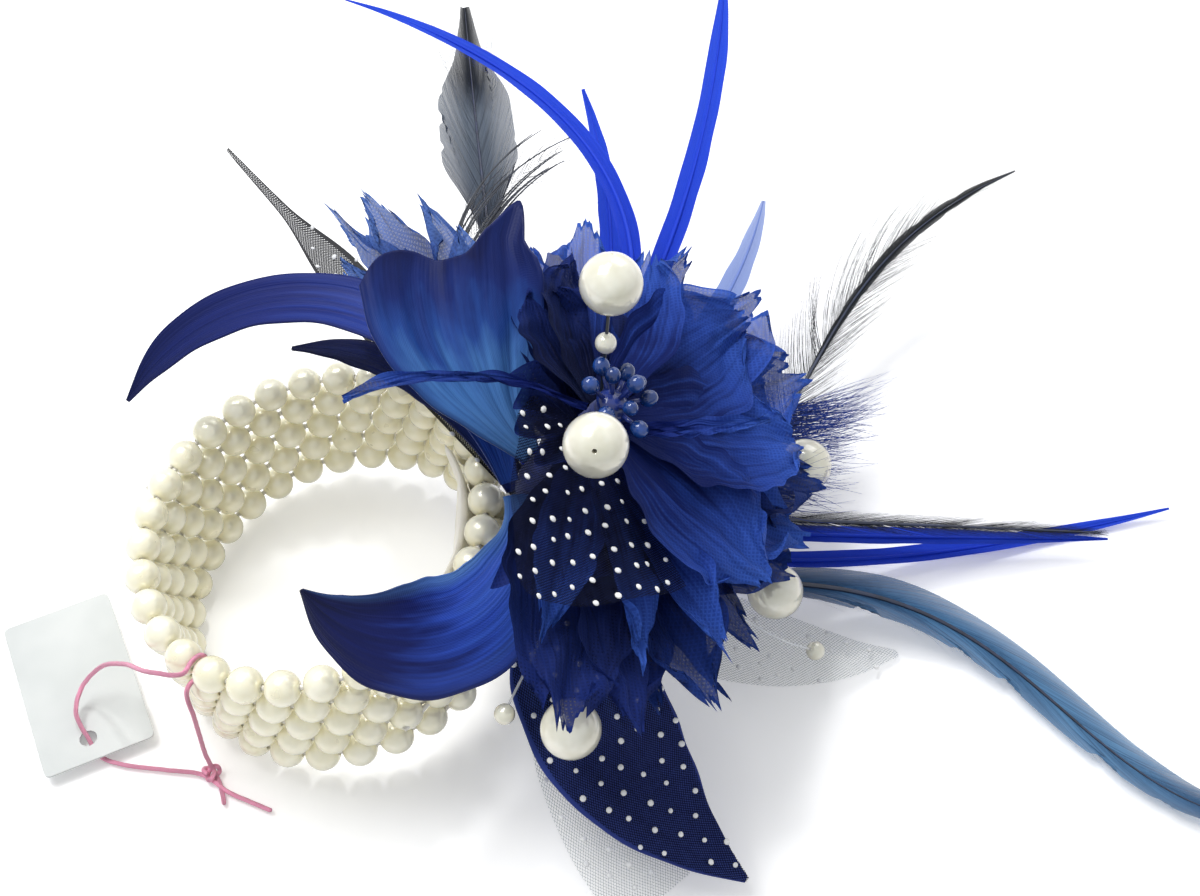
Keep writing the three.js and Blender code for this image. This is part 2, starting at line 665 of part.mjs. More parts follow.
// Pearl sprays: pearls glued on wires and clear filaments that sway from the stem
const pearlRadius = 4.7;
const seedPearlRadius = 1.65;
const wireRadius = 0.35;
const pearlSides = 10;
const pearlSliceDegrees = [14, 38, 64, 90, 116, 142, 166];
const seedSliceDegrees = [30, 90, 150];
const sprays = [
  {
    name: "pearl_spray_top", rootAngle: 95, rootShare: 0.96, pearl: pearlRadius, seedShare: 0.5,
    routeShares: [[-0.187, 0.219, -0.241]],
  },
  {
    name: "pearl_spray_centre", rootAngle: -110, rootShare: 0.96, pearl: pearlRadius,
    routeShares: [[-0.168, -0.294, -0.068]],
  },
  {
    name: "pearl_spray_lower", rootAngle: -85, rootShare: 0.36, pearl: pearlRadius,
    routeShares: [[0.17, -0.423, 0.571], [0.255, -0.778, 0.74]],
  },
  {
    name: "pearl_spray_right", rootAngle: -10, rootShare: 0.6, pearl: pearlRadius,
    routeShares: [[0.541, -0.101, 0.417], [1.006, -0.174, 0.463]],
  },
  {
    name: "pearl_spray_back", rootAngle: 12, rootShare: 0.6, pearl: pearlRadius,
    routeShares: [[0.55, 0.139, 0.438], [1.161, 0.379, 0.355]],
  },
  {
    name: "seed_spray_left", rootAngle: -98, rootShare: 0.42, pearl: seedPearlRadius,
    routeShares: [[0.124, -0.417, 0.657], [0.071, -0.715, 0.853]],
  },
  {
    name: "seed_spray_right", rootAngle: -26, rootShare: 0.58, pearl: seedPearlRadius,
    routeShares: [[0.511, -0.229, 0.465], [1.044, -0.333, 0.517], [1.251, -0.309, 0.552]],
  },
];
const sprayWireSteps = 6;
function spraySolid(spray) {
  const root = stemRoot({ ...spray, rootLiftShare: wireRadius / rootLift });
  const places = spray.routeShares.map(([out, up, depth]) => flowerCentre.clone()
    .addScaledVector(flowerOut, organzaRadius * out)
    .addScaledVector(flowerUp, organzaRadius * up)
    .addScaledVector(axisDirection, -organzaRadius * depth));
  const centre = places.at(-1);
  const middles = places.slice(0, -1);
  const route = new THREE.CatmullRomCurve3([root, ...middles, centre], false, "centripetal");
  const length = route.getLength();
  const slices = spray.pearl > seedPearlRadius ? pearlSliceDegrees : seedSliceDegrees;
  const wireEnd = 1 - spray.pearl / length;
  const stations = [];
  for (let step = 0; step <= sprayWireSteps; step += 1) {
    const share = (step / sprayWireSteps) * wireEnd;
    stations.push({ point: route.getPointAt(share), radius: wireRadius });
    if (spray.seedShare && step === Math.floor(sprayWireSteps * spray.seedShare)) {
      for (const slice of seedSliceDegrees) {
        const shift = (seedPearlRadius * (1 - Math.cos(radians(slice)))) / length;
        stations.push({ point: route.getPointAt(share + shift), radius: seedPearlRadius * Math.sin(radians(slice)) });
      }
    }
  }
  const heading = route.getTangentAt(wireEnd);
  for (const slice of slices) {
    stations.push({
      point: centre.clone().addScaledVector(heading, -spray.pearl * Math.cos(radians(slice))),
      radius: spray.pearl * Math.sin(radians(slice)),
    });
  }
  return sweptSolid(stations, pearlSides);
}
for (const spray of sprays) add(corsage, spray.name, spraySolid(spray), pearlFinish);

// String: from one loose end, up through the beads, over the top row, down to the card's hole and back
const stringDiameter = 0.8;
const stringSides = 8;
const stringSteps = 76;
const stringLoopTurn = beadTurn(arcs[1], 0, 0.5);
const stringLoopOut = 1.95;
function onRing(outside, below) {
  return ringPoint(stringLoopTurn, topRowHeight - below, outside)
    .applyAxisAngle(new THREE.Vector3(0, 1, 0), -lean)
    .add(new THREE.Vector3(0, 0, ringHeight));
}
const stringRoute = [
  new THREE.Vector3(-16.4, -36.4, 0.5),
  new THREE.Vector3(-17.5, -33, 0.5),
  new THREE.Vector3(-18.8, -30.6, 0.9),
  new THREE.Vector3(-19.6, -29.6, 4),
  new THREE.Vector3(-19.3, -29.5, 12),
  new THREE.Vector3(-18.9, -29.5, 20),
  onRing(4.4, 4.6),
  onRing(3.2, 1.95),
  onRing(0, 1.9),
  onRing(-1.45, 1.3),
  onRing(-1.95, 0),
  onRing(-1.45, -1.35),
  onRing(0, -1.95),
  onRing(2.6, -1.7),
  new THREE.Vector3(-24, -27, 28),
  new THREE.Vector3(-31.5, -20.5, 19),
  new THREE.Vector3(-38.2, -16.6, 10.5),
  new THREE.Vector3(-42.2, -17.8, 5.4),
  new THREE.Vector3(-42.6, -21.6, 4.2),
  new THREE.Vector3(-40.4, -25.2, 1.9),
  new THREE.Vector3(-38.2, -27.8, 0.55),
  new THREE.Vector3(-34.4, -29.2, 0.5),
  new THREE.Vector3(-27, -30.2, 0.5),
  new THREE.Vector3(-20.5, -31.2, 0.6),
  new THREE.Vector3(-16, -34.2, 0.5),
  new THREE.Vector3(-12, -36, 0.5),
  new THREE.Vector3(-8.5, -37.5, 0.5),
];
function stringSolid() {
  const route = new THREE.CatmullRomCurve3(stringRoute, false, "centripetal");
  route.arcLengthDivisions = 600;
  const section = new THREE.Shape();
  section.absarc(0, 0, stringDiameter / 2, 0, fullTurn, false);
  return new THREE.ExtrudeGeometry(section, {
    steps: stringSteps,
    extrudePath: route,
    curveSegments: stringSides / 2,
    bevelEnabled: false,
  });
}
add(corsage, "tag_string", stringSolid(), stringFinish);

// Hang tag: a blank card, with its hole where the string passes through it
const cardWidth = 18.6;
const cardLength = 32;
const cardThickness = 0.4;
const cardHoleRadius = 1.5;
const cardHoleFromEdge = 4.3;
const cardHoleFromSide = 8.3;
const cardCornerRadius = 1.2;
const cardHoleIndex = 19;
const cardHole = stringRoute[cardHoleIndex];
const cardHeadingDegrees = 115;
const cardTiltDegrees = -2.6;
function cardSolid() {
  const [low, high] = [-cardHoleFromEdge, cardLength - cardHoleFromEdge];
  const [left, right] = [cardHoleFromSide, cardHoleFromSide - cardWidth];
  const corner = cardCornerRadius;
  const outline = new THREE.Shape();
  outline.moveTo(low + corner, right);
  outline.lineTo(high - corner, right);
  outline.quadraticCurveTo(high, right, high, right + corner);
  outline.lineTo(high, left - corner);
  outline.quadraticCurveTo(high, left, high - corner, left);
  outline.lineTo(low + corner, left);
  outline.quadraticCurveTo(low, left, low, left - corner);
  outline.lineTo(low, right + corner);
  outline.quadraticCurveTo(low, right, low + corner, right);
  const hole = new THREE.Path();
  hole.absarc(0, 0, cardHoleRadius, 0, fullTurn, true);
  outline.holes.push(hole);
  const geometry = new THREE.ExtrudeGeometry(outline, { depth: cardThickness, bevelEnabled: false, curveSegments: 6 });
  geometry.translate(0, 0, -cardThickness / 2);
  return geometry;
}
const card = add(corsage, "hang_tag", cardSolid(), cardFinish);
card.position.copy(cardHole);
card.rotation.set(0, radians(-cardTiltDegrees), radians(cardHeadingDegrees), "ZYX");

export default corsage;
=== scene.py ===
"""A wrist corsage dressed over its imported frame.

An ivory pearl bracelet carries a blue flower of satin, organza and dotted tulle with feathers,
pearl sprays and a blank hang tag. Lengths in the classes are millimetres over the table, and
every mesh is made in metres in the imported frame.
"""

import logging
import math
from contextlib import contextmanager
from dataclasses import dataclass, field, replace
from enum import Enum
from typing import Callable, Iterator, Sequence

import bmesh
import bpy
import numpy as np
from mathutils import Matrix, Vector


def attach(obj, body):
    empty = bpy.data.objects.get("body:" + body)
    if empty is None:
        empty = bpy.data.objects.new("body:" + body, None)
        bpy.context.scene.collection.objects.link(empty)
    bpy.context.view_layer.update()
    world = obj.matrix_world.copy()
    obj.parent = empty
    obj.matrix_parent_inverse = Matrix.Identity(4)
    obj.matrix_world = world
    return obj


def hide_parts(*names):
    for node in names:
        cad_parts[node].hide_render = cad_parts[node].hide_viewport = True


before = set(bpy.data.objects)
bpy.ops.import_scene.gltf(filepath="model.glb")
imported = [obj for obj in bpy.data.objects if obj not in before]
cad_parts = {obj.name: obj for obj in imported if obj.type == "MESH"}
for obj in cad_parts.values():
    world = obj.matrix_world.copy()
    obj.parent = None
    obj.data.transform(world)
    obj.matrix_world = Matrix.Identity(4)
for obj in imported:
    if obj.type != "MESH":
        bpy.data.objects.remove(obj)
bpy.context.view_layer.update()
log = logging.getLogger("corsage")

MM = 0.001
FULL_TURN = 2 * math.pi
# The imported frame's origin, in millimetres over the table.
FOOTPRINT = np.array([58.7, 26.8, 0.0])
# How many millimetres of cloth a length of one in a cloth map stands for.
CLOTH_UNIT = 100
# A short step along a line of length one, to take a direction from.
NUDGE = 1e-3
# The least side of a sheet's cut, and the least share of that cut that it fills.
LEAST_SPAN = 10.0
LEAST_COVER = 0.31

Array = np.ndarray
Pair = tuple[np.ndarray, np.ndarray]
Solid = tuple[np.ndarray, Sequence[Sequence[int]]]
Mapped = tuple[np.ndarray, np.ndarray, np.ndarray]
Detail = Callable[[np.ndarray, np.ndarray], Pair]
Piece = bpy.types.Object
Material = bpy.types.Material
Socket = bpy.types.NodeSocket
Stops = tuple[tuple[float, int], ...]
Finishes = dict[str, Material]


class Body(Enum):
    """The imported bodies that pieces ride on."""

    FLOWER = "flower_side"
    NEAR = "near_side"
    WRIST = "wrist_side"
    FAR = "far_side"


class Hold(Enum):
    """How a sheet of cloth is held."""

    GATHERED = "gathered"
    LAID = "laid"
    FOLDED = "folded"


def placed(points: Array) -> Array:
    """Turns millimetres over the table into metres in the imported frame."""
    return (np.asarray(points, float) - FOOTPRINT) * MM


def unit(vector: Array) -> Array:
    """Gives vectors the length one, along their last axis."""
    return vector / np.maximum(np.linalg.norm(vector, axis=-1, keepdims=True), 1e-12)


def direction_of(azimuth: float, rise: float) -> Array:
    """The direction at an azimuth and a rise above the table, both in degrees."""
    turn, climb = math.radians(azimuth), math.radians(rise)
    return np.array([math.cos(climb) * math.cos(turn), math.cos(climb) * math.sin(turn), math.sin(climb)])


def aimed(way: Array) -> Array:
    """The turn that takes the Z axis to a direction."""
    return np.array(Vector(way).to_track_quat("Z", "Y").to_matrix())


def running_lengths(line: Array) -> Array:
    """The length from the start of a line to each of its points."""
    return np.concatenate([[0], np.cumsum(np.linalg.norm(np.diff(line, axis=0), axis=1))])


def share_at(shares: Sequence[float], along: Array) -> Array:
    """Reads a list of shares as a smooth profile.

    Args:
        shares: The profile's values at even steps.
        along: Places from 0 to 1.

    Returns:
        The profile at each place.
    """
    values = np.asarray(shares, float)
    place = np.clip(along, 0, 1) * (len(values) - 1)
    index = np.minimum(place.astype(int), len(values) - 2)
    steps = np.diff(values)
    before, after = np.r_[steps[:1], steps], np.r_[steps, steps[-1:]]
    level = before * after <= 0
    slopes = np.where(level, 0, 2 * before * after / np.where(level, 1, before + after))
    t = place - index
    rise = 3 * t**2 - 2 * t**3
    bend = (t**3 - 2 * t**2 + t) * slopes[index] + (t**3 - t**2) * slopes[index + 1]
    return values[index] * (1 - rise) + values[index + 1] * rise + bend


def ripple(seed: int, across: Array, along: Array, coarse: float = 1.0) -> Array:
    """Soft unevenness, the same at each run.

    Args:
        seed: Which unevenness.
        across: First coordinate.
        along: Second coordinate.
        coarse: How many swells there are over a length of one.

    Returns:
        Values of about -1 to 1.
    """
    chance = np.random.default_rng(seed)
    total = np.zeros(np.broadcast(across, along).shape)
    for _ in range(5):
        fx, fy = chance.uniform(-1, 1, 2) * coarse * FULL_TURN
        total = total + np.sin(fx * across + fy * along + chance.uniform(0, FULL_TURN))
    return total / 3


def deselect() -> None:
    """Leaves nothing selected or active."""
    if bpy.context.object and bpy.context.object.mode != "OBJECT":
        bpy.ops.object.mode_set(mode="OBJECT")
    bpy.ops.object.select_all(action="DESELECT")
    bpy.context.view_layer.objects.active = None


def take(piece: Piece) -> None:
    """Makes a piece the only one selected, and active."""
    deselect()
    piece.select_set(True)
    bpy.context.view_layer.objects.active = piece


@contextmanager
def editing(piece: Piece) -> Iterator[None]:
    """Keeps a piece in edit mode for a while.

    Args:
        piece: The piece.

    Yields:
        Nothing, while the mode is on.
    """
    take(piece)
    bpy.ops.object.mode_set(mode="EDIT")
    yield
    bpy.ops.object.mode_set(mode="OBJECT")


def inset_faces(piece: Piece, test: Callable[[Vector, Vector], bool], widths: Sequence[float]) -> None:
    """Insets some faces, once for each width, and leaves the innermost selected.

    Args:
        piece: The object in edit mode.
        test: Takes a face's middle and normal, and says whether it is one of them.
        widths: The widths of the insets.
    """
    sheet = bmesh.from_edit_mesh(piece.data)
    for part in (*sheet.verts, *sheet.edges, *sheet.faces):
        part.select = False
    for face in sheet.faces:
        if test(face.calc_center_median(), face.normal):
            face.select_set(True)
    bmesh.update_edit_mesh(piece.data)
    for width in widths:
        bpy.ops.mesh.inset(thickness=width)


def extrude(depth: float) -> None:
    """Pushes the selected faces out along the Z axis, with walls behind them."""
    bpy.ops.mesh.extrude_region_move(TRANSFORM_OT_translate={"value": (0, 0, depth)})


def ball(segments: int, rings: int, radius: float = 1.0) -> Piece:
    """Makes a round ball.

    Args:
        segments: Faces round it.
        rings: Faces from end to end.
        radius: Its radius.

    Returns:
        The ball, selected.
    """
    deselect()
    size = {"segments": segments, "ring_count": rings, "radius": radius}
    bpy.ops.mesh.primitive_uv_sphere_add(location=(0, 0, 0), **size)
    return bpy.context.object


def taken_apart(model: Piece) -> Solid:
    """Takes the points and faces of a modelled shape and removes it.

    Args:
        model: The shape.

    Returns:
        Its points and faces.
    """
    points = np.array([v.co for v in model.data.vertices])
    faces = [list(p.vertices) for p in model.data.polygons]
    bpy.data.objects.remove(model)
    return points, faces


def apply_modifiers(piece: Piece) -> None:
    """Applies every modifier of a piece in order."""
    take(piece)
    for modifier in list(piece.modifiers):
        bpy.ops.object.modifier_apply(modifier=modifier.name)


def smooth(piece: Piece, degrees: float = 180.0) -> None:
    """Shades a piece smooth.

    Args:
        piece: The piece.
        degrees: Edges sharper than this stay crisp.
    """
    take(piece)
    if degrees >= 180:
        bpy.ops.object.shade_smooth()
    else:
        bpy.ops.object.shade_smooth_by_angle(angle=math.radians(degrees))


def mesh_piece(
    name: str,
    points: Array,
    faces: Sequence[Sequence[int]],
    materials: Sequence[Material],
    kinds: Sequence[int] | None = None,
    maps: dict[str, Array] | None = None,
) -> Piece:
    """Makes a piece from points over the table.

    Args:
        name: The piece's name.
        points: Points in millimetres over the table.
        faces: Point indices of each face.
        materials: The piece's finishes.
        kinds: The finish of each face.
        maps: Named maps with a coordinate pair for each point.

    Returns:
        The piece, shaded smooth.
    """
    data = bpy.data.meshes.new(name)
    data.from_pydata(placed(points).tolist(), [], [list(map(int, f)) for f in faces])
    for material in materials:
        data.materials.append(material)
    if kinds is not None:
        data.polygons.foreach_set("material_index", np.asarray(kinds, np.int32))
    corners = np.zeros(len(data.loops), np.int32)
    data.loops.foreach_get("vertex_index", corners)
    for title, pairs in (maps or {}).items():
        layer = data.uv_layers.new(name=title)
        layer.data.foreach_set("uv", np.asarray(pairs, np.float32)[corners].ravel())
    data.update()
    piece = bpy.data.objects.new(name, data)
    bpy.context.scene.collection.objects.link(piece)
    smooth(piece)
    return piece


def grid_faces(rows: int, columns: int, start: int = 0, wrap: bool = False) -> Array:
    """Faces of a grid of points, row after row.

    Args:
        rows: Rows of points.
        columns: Points in a row.
        start: Index of the first point.
        wrap: True where the last column joins the first.

    Returns:
        Four point indices for each face.
    """
    row = np.arange(rows - 1)[:, None]
    column = np.arange(columns if wrap else columns - 1)[None, :]
    right = (column + 1) % columns
    a, b = row * columns + column, row * columns + right
    c, d = (row + 1) * columns + right, (row + 1) * columns + column
    return np.stack([a, b, c, d], -1).reshape(-1, 4) + start


def tube(line: Array, radii: Array, sides: int, lobes: Callable | None = None) -> Solid:
    """A closed round body along a line.

    Args:
        line: Points along the middle.
        radii: Radius at each point.
        sides: Points round each section.
        lobes: Takes the angles of a section and its index, and gives shares of the radius.

    Returns:
        Points and faces.
    """
    ahead = np.vstack([line[1:], line[-1:]])
    behind = np.vstack([line[:1], line[:-1]])
    tangents = unit(ahead - behind)
    helper = np.array([1.0, 0, 0]) if abs(tangents[0][2]) > 0.9 else np.array([0, 0, 1.0])
    normal = unit(np.cross(helper, tangents[0]))
    angles = np.arange(sides) / sides * FULL_TURN
    rings = []
    for index, tangent in enumerate(tangents):
        normal = unit(normal - tangent * normal.dot(tangent))
        side = np.cross(tangent, normal)
        radius = radii[index] * (lobes(angles, index) if lobes else 1.0)
        spokes = normal[:, None] * np.cos(angles) * radius + side[:, None] * np.sin(angles) * radius
        rings.append(line[index] + spokes.T)
    last = (len(line) - 1) * sides
    ends = (range(sides - 1, -1, -1), range(last, last + sides))
    return np.vstack(rings), [*grid_faces(len(line), sides, wrap=True), *ends]


def wound_piece(
    name: str, line: Array, radii: Array, sides: int, lobes: Callable, material: Material, cloth: tuple
) -> Piece:
    """Makes a round piece that something is wound round.

    Args:
        name: The piece's name.
        line: Points along its middle.
        radii: Radius at each point.
        sides: Points round each section.
        lobes: Takes the angles of a section and its index, and gives shares of the radius.
        material: Its finish.
        cloth: The cloth map's share round the piece, and the millimetres along it for a length of one.

    Returns:
        The piece.
    """
    points, faces = tube(line, radii, sides, lobes)
    around = np.tile(np.arange(sides) / sides, len(line)) * cloth[0]
    along = np.repeat(running_lengths(line), sides) / cloth[1]
    return mesh_piece(name, points, faces, [material], maps={"cloth": np.stack([around, along], -1)})


class Pile:
    """The points and faces of several bodies that make one piece."""

    def __init__(self) -> None:
        """Starts empty."""
        self.points, self.faces, self.kinds, self.maps, self.count = [], [], [], {}, 0

    def add(self, points: Array, faces: Sequence[Sequence[int]], kind: int = 0, **maps: Array) -> None:
        """Adds a body.

        Args:
            points: Its points.
            faces: Point indices of each face.
            kind: Which of the piece's finishes it takes.
            **maps: Named maps with a coordinate pair for each point.
        """
        self.faces += [[int(i) + self.count for i in face] for face in faces]
        self.kinds += [kind] * len(faces)
        self.points.append(points)
        self.count += len(points)
        for title, pairs in maps.items():
            self.maps.setdefault(title, []).append(pairs)

    def piece(self, name: str, materials: Sequence[Material]) -> Piece:
        """Makes the piece."""
        maps = {title: np.vstack(pairs) for title, pairs in self.maps.items()}
        return mesh_piece(name, np.vstack(self.points), self.faces, materials, self.kinds, maps)


def claim(piece: Piece, slot: str | None, *nodes: str, body: str = Body.FLOWER.value) -> Piece:
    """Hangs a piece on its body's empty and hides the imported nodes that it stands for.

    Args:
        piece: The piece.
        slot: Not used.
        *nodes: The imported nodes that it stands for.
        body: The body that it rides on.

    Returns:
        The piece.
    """
    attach(piece, body)
    if nodes:
        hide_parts(*nodes)
    return piece


class Line:
    """A smooth line through points, read by the share of its length."""

    def __init__(self, points: Sequence[Sequence[float]]) -> None:
        """Runs a centripetal Catmull-Rom line through points.

        Args:
            points: The points, in order.
        """
        knots = np.asarray(points, float)
        knots = np.vstack([2 * knots[0] - knots[1], knots, 2 * knots[-1] - knots[-2]])
        shares = np.linspace(0, 1, 80, endpoint=False)
        dense = [self._stretch(knots[index - 1 : index + 3], shares) for index in range(1, len(knots) - 2)]
        self.points = np.vstack([*dense, knots[-2:-1]])
        self.places = running_lengths(self.points)
        self.length = float(self.places[-1])

    @staticmethod
    def _stretch(four: Array, shares: Array) -> Array:
        """The line between the middle two of four points.

        Args:
            four: The points.
            shares: Places from 0 to 1 between the middle two.

        Returns:
            The points at those places.
        """
        first, second, third = np.diff(four, axis=0)
        before, between, after = [max(np.sum(step**2) ** 0.25, 1e-4) for step in (first, second, third)]
        into = first / before - (four[2] - four[0]) / (before + between) + second / between
        out = second / between - (four[3] - four[1]) / (between + after) + third / after
        into, out = into * between, out * between
        t = shares[:, None]
        cubic = 2 * four[1] - 2 * four[2] + into + out
        square = -3 * four[1] + 3 * four[2] - 2 * into - out
        return four[1] + into * t + square * t**2 + cubic * t**3

    def at(self, share: float | Array) -> Array:
        """The points at shares of the length."""
        place = np.clip(np.asarray(share, float), 0, 1) * self.length
        return np.stack([np.interp(place, self.places, self.points[:, k]) for k in range(3)], -1)

    def tangent(self, share: float) -> Array:
        """The direction at a share of the length."""
        return unit(self.at(min(share + NUDGE, 1)) - self.at(max(share - NUDGE, 0)))


@dataclass
class Ring:
    """The leaning oval that the bracelet's rows follow."""

    across: float = 28.8
    deep: float = 30.3
    bead: float = 5.9
    row_pitch: float = 5.5
    rows: int = 5
    beads: int = 30
    lean: float = math.radians(8.7)
    perimeter: float = field(init=False, default=0.0)

    def __post_init__(self) -> None:
        """Measures the oval."""
        self._angles = np.linspace(0, FULL_TURN, 2001)
        line = np.stack([self.across * np.cos(self._angles), self.deep * np.sin(self._angles)], -1)
        self._places = running_lengths(line)
        self.perimeter = float(self._places[-1])
        self.top = (self.rows - 1) * self.row_pitch / 2
        self.height = self.top * math.cos(self.lean) + self.across * math.sin(self.lean) + self.bead / 2

    def flat(self, turn: Array, height: Array, outside: Array = 0.0) -> Array:
        """Points of the ring before it leans.

        Args:
            turn: How far round, in turns.
            height: How high over the ring's middle.
            outside: How far outside the row's cord.

        Returns:
            The points.
        """
        place = np.mod(turn, 1) * self.perimeter
        angle = np.interp(place, self._places, self._angles)
        tangent = unit(np.stack([-self.across * np.sin(angle), self.deep * np.cos(angle)], -1))
        x = self.across * np.cos(angle) + tangent[..., 1] * outside
        y = self.deep * np.sin(angle) - tangent[..., 0] * outside
        return np.stack(np.broadcast_arrays(x, y, height), -1).astype(float)

    def leaned(self, points: Array) -> Array:
        """Leans points of the bracelet and stands them on the table."""
        x, z = points[..., 0], points[..., 2]
        cos, sin = math.cos(self.lean), math.sin(self.lean)
        return np.stack([x * cos - z * sin, points[..., 1], x * sin + z * cos + self.height], -1)

    def at(self, turn: Array, height: Array, outside: Array = 0.0) -> Array:
        """Points of the leaning ring."""
        return self.leaned(self.flat(*(np.asarray(value, float) for value in (turn, height, outside))))

    def height_of(self, row: int) -> float:
        """The height of a row's cord over the ring's middle."""
        return self.top - row * self.row_pitch


RING = Ring()
SEAT_GAP = 0.3
AXIS = direction_of(4, 55)
UP = unit(np.cross([0, 0, 1.0], AXIS))
OUT = np.cross(UP, AXIS)
FELT_NORMAL = np.array([math.cos(RING.lean), 0, math.sin(RING.lean)])
FELT_FACE = RING.across + RING.bead / 2 + SEAT_GAP
FELT_THICKNESS = 2.0
STEM_RADIUS = 2.4
STEM_CLEAR = STEM_RADIUS + SEAT_GAP
FLOWER_DEPTH = 24.0
ORGANZA_RADIUS = 46.0
STEM_FOOT = FELT_NORMAL * (FELT_FACE + FELT_THICKNESS + SEAT_GAP) + [0, 0, RING.height]
STEM_BEND = STEM_FOOT + FELT_NORMAL * 2.6
NECK_TOP = STEM_BEND + direction_of(206, 83.3) * 18.7
CENTRE = NECK_TOP + AXIS * FLOWER_DEPTH


def flower_point(radius: Array, angle: Array, depth: Array) -> Array:
    """Points of the flower, round the stem's axis.

    Args:
        radius: Millimetres from the axis.
        angle: Degrees round it: 0 points out, and 90 away from the viewer.
        depth: Millimetres down the stem from the flower's middle.

    Returns:
        The points.
    """
    turn = np.radians(angle)
    radius, turn, depth = np.broadcast_arrays(radius, turn, depth)
    return (
        CENTRE
        + (radius * np.cos(turn))[..., None] * OUT
        + (radius * np.sin(turn))[..., None] * UP
        - np.asarray(depth)[..., None] * AXIS
    )


STEM = Line([STEM_FOOT, STEM_BEND, NECK_TOP, CENTRE - AXIS * 13.25, CENTRE - AXIS * 2.5])


def stem_root(share: float, angle: float, lift: float) -> Array:
    """Where a piece leaves the stem.

    Args:
        share: How far up the stem.
        angle: On which side of it, in degrees.
        lift: How far off its tape, in millimetres.

    Returns:
        The point.
    """
    tangent = STEM.tangent(share)
    out = unit(np.cross(UP, tangent))
    radius = STEM_CLEAR + lift
    turn = math.radians(angle)
    return STEM.at(share) + out * radius * math.cos(turn) + UP * radius * math.sin(turn)


@dataclass(frozen=True)
class Blade:
    """The middle line and widths of a petal, a loose end or a feather."""

    node: str
    root: tuple[float, float, float]
    azimuth: float
    rise: float
    length: float
    half: float
    widths: tuple[float, ...]
    turn: float = 0.0
    droop: float = 0.0
    bow: float = 0.0
    sway: float = 0.0
    roll: float = 0.0
    roll_turn: float = 0.0
    cup: float = 0.0
    waves: float = 0.0
    wave: float = 0.0
    steps: int = 12

    def directions(self, along: Array) -> tuple[Array, Array, Array]:
        """The direction onward, across and up off the blade.

        Args:
            along: Places from 0 at the root to 1 at the tip.

        Returns:
            Three unit vectors for each place.
        """
        share = np.clip(along, 0, 1)
        bend = self.bow * np.sin(math.pi * share) + self.sway * np.sin(FULL_TURN * share)
        heading = np.radians(self.azimuth + self.turn * share + bend)
        climb = np.radians(self.rise - self.droop * share)
        level = np.cos(climb)
        onward = np.stack([level * np.cos(heading), level * np.sin(heading), np.sin(climb)], -1)
        across = np.stack([np.sin(heading), -np.cos(heading), np.zeros_like(heading)], -1)
        roll = np.radians(self.roll + self.roll_turn * share)[..., None]
        across = across * np.cos(roll) + np.cross(onward, across) * np.sin(roll)
        return onward, across, np.cross(across, onward)

    def spine(self, along: Array) -> Array:
        """The middle line, run on straight past its ends.

        Args:
            along: Places from 0 at the root to 1 at the tip.

        Returns:
            The points.
        """
        steps = np.arange(self.steps + 1) / self.steps
        onward = self.directions(steps)[0]
        places = np.cumsum(onward[:-1] * self.length / self.steps, axis=0)
        stations = stem_root(*self.root) + np.vstack([np.zeros(3), places])
        ends = np.vstack([2 * stations[0] - stations[1], stations, 2 * stations[-1] - stations[-2]])
        place = np.clip(along, 0, 1) * self.steps
        index = np.minimum(place.astype(int), self.steps - 1)
        t = (place - index)[..., None]
        a, b, c, d = (ends[index + k] for k in range(4))
        square, cubic = 2 * a - 5 * b + 4 * c - d, 3 * b - a - 3 * c + d
        point = 0.5 * (2 * b + (c - a) * t + square * t**2 + cubic * t**3)
        beyond = (np.asarray(along) - np.clip(along, 0, 1))[..., None] * self.length
        return point + beyond * self.directions(along)[0]

    def at(self, along: Array, across: Array, lift: Array) -> Array:
        """Points beside the middle line, by millimetres across it and off the blade."""
        along, across, lift = np.broadcast_arrays(along, across, lift)
        _, side, off = self.directions(along)
        return self.spine(along) + side * across[..., None] + off * lift[..., None]

    def half_at(self, along: Array) -> Array:
        """The half width at places along the blade."""
        return self.half * share_at(self.widths, np.asarray(along, float))

    def lift_at(self, side: Array, along: Array) -> Array:
        """How far the cupped and waved blade stands off its middle line."""
        cupped = self.cup * self.half_at(along) * side**2
        return cupped + self.wave * along * np.sin(self.waves * math.pi * side)


@dataclass(frozen=True)
class Shaft(Blade):
    """A feather's middle line, followed in finer steps."""

    steps: int = 16


def cut_of(flat: Array, area: float, held: Hold) -> dict:
    """The size of a sheet's cut, and how and on what it lies.

    Args:
        flat: Points of its cut in millimetres.
        area: Its area in square millimetres.
        held: How it is held.

    Returns:
        The size of its cut, and how and on what it lies.
    """
    span = np.maximum(np.ptp(flat.reshape(-1, 2), axis=0), LEAST_SPAN)
    area = float(np.clip(area, LEAST_COVER * span[0] * span[1], span[0] * span[1]))
    size = {"flat": (span[0] * MM, span[1] * MM), "area": area * MM**2}
    return {**size, "held": held.value, "rests_on": ["taped_stem"]}


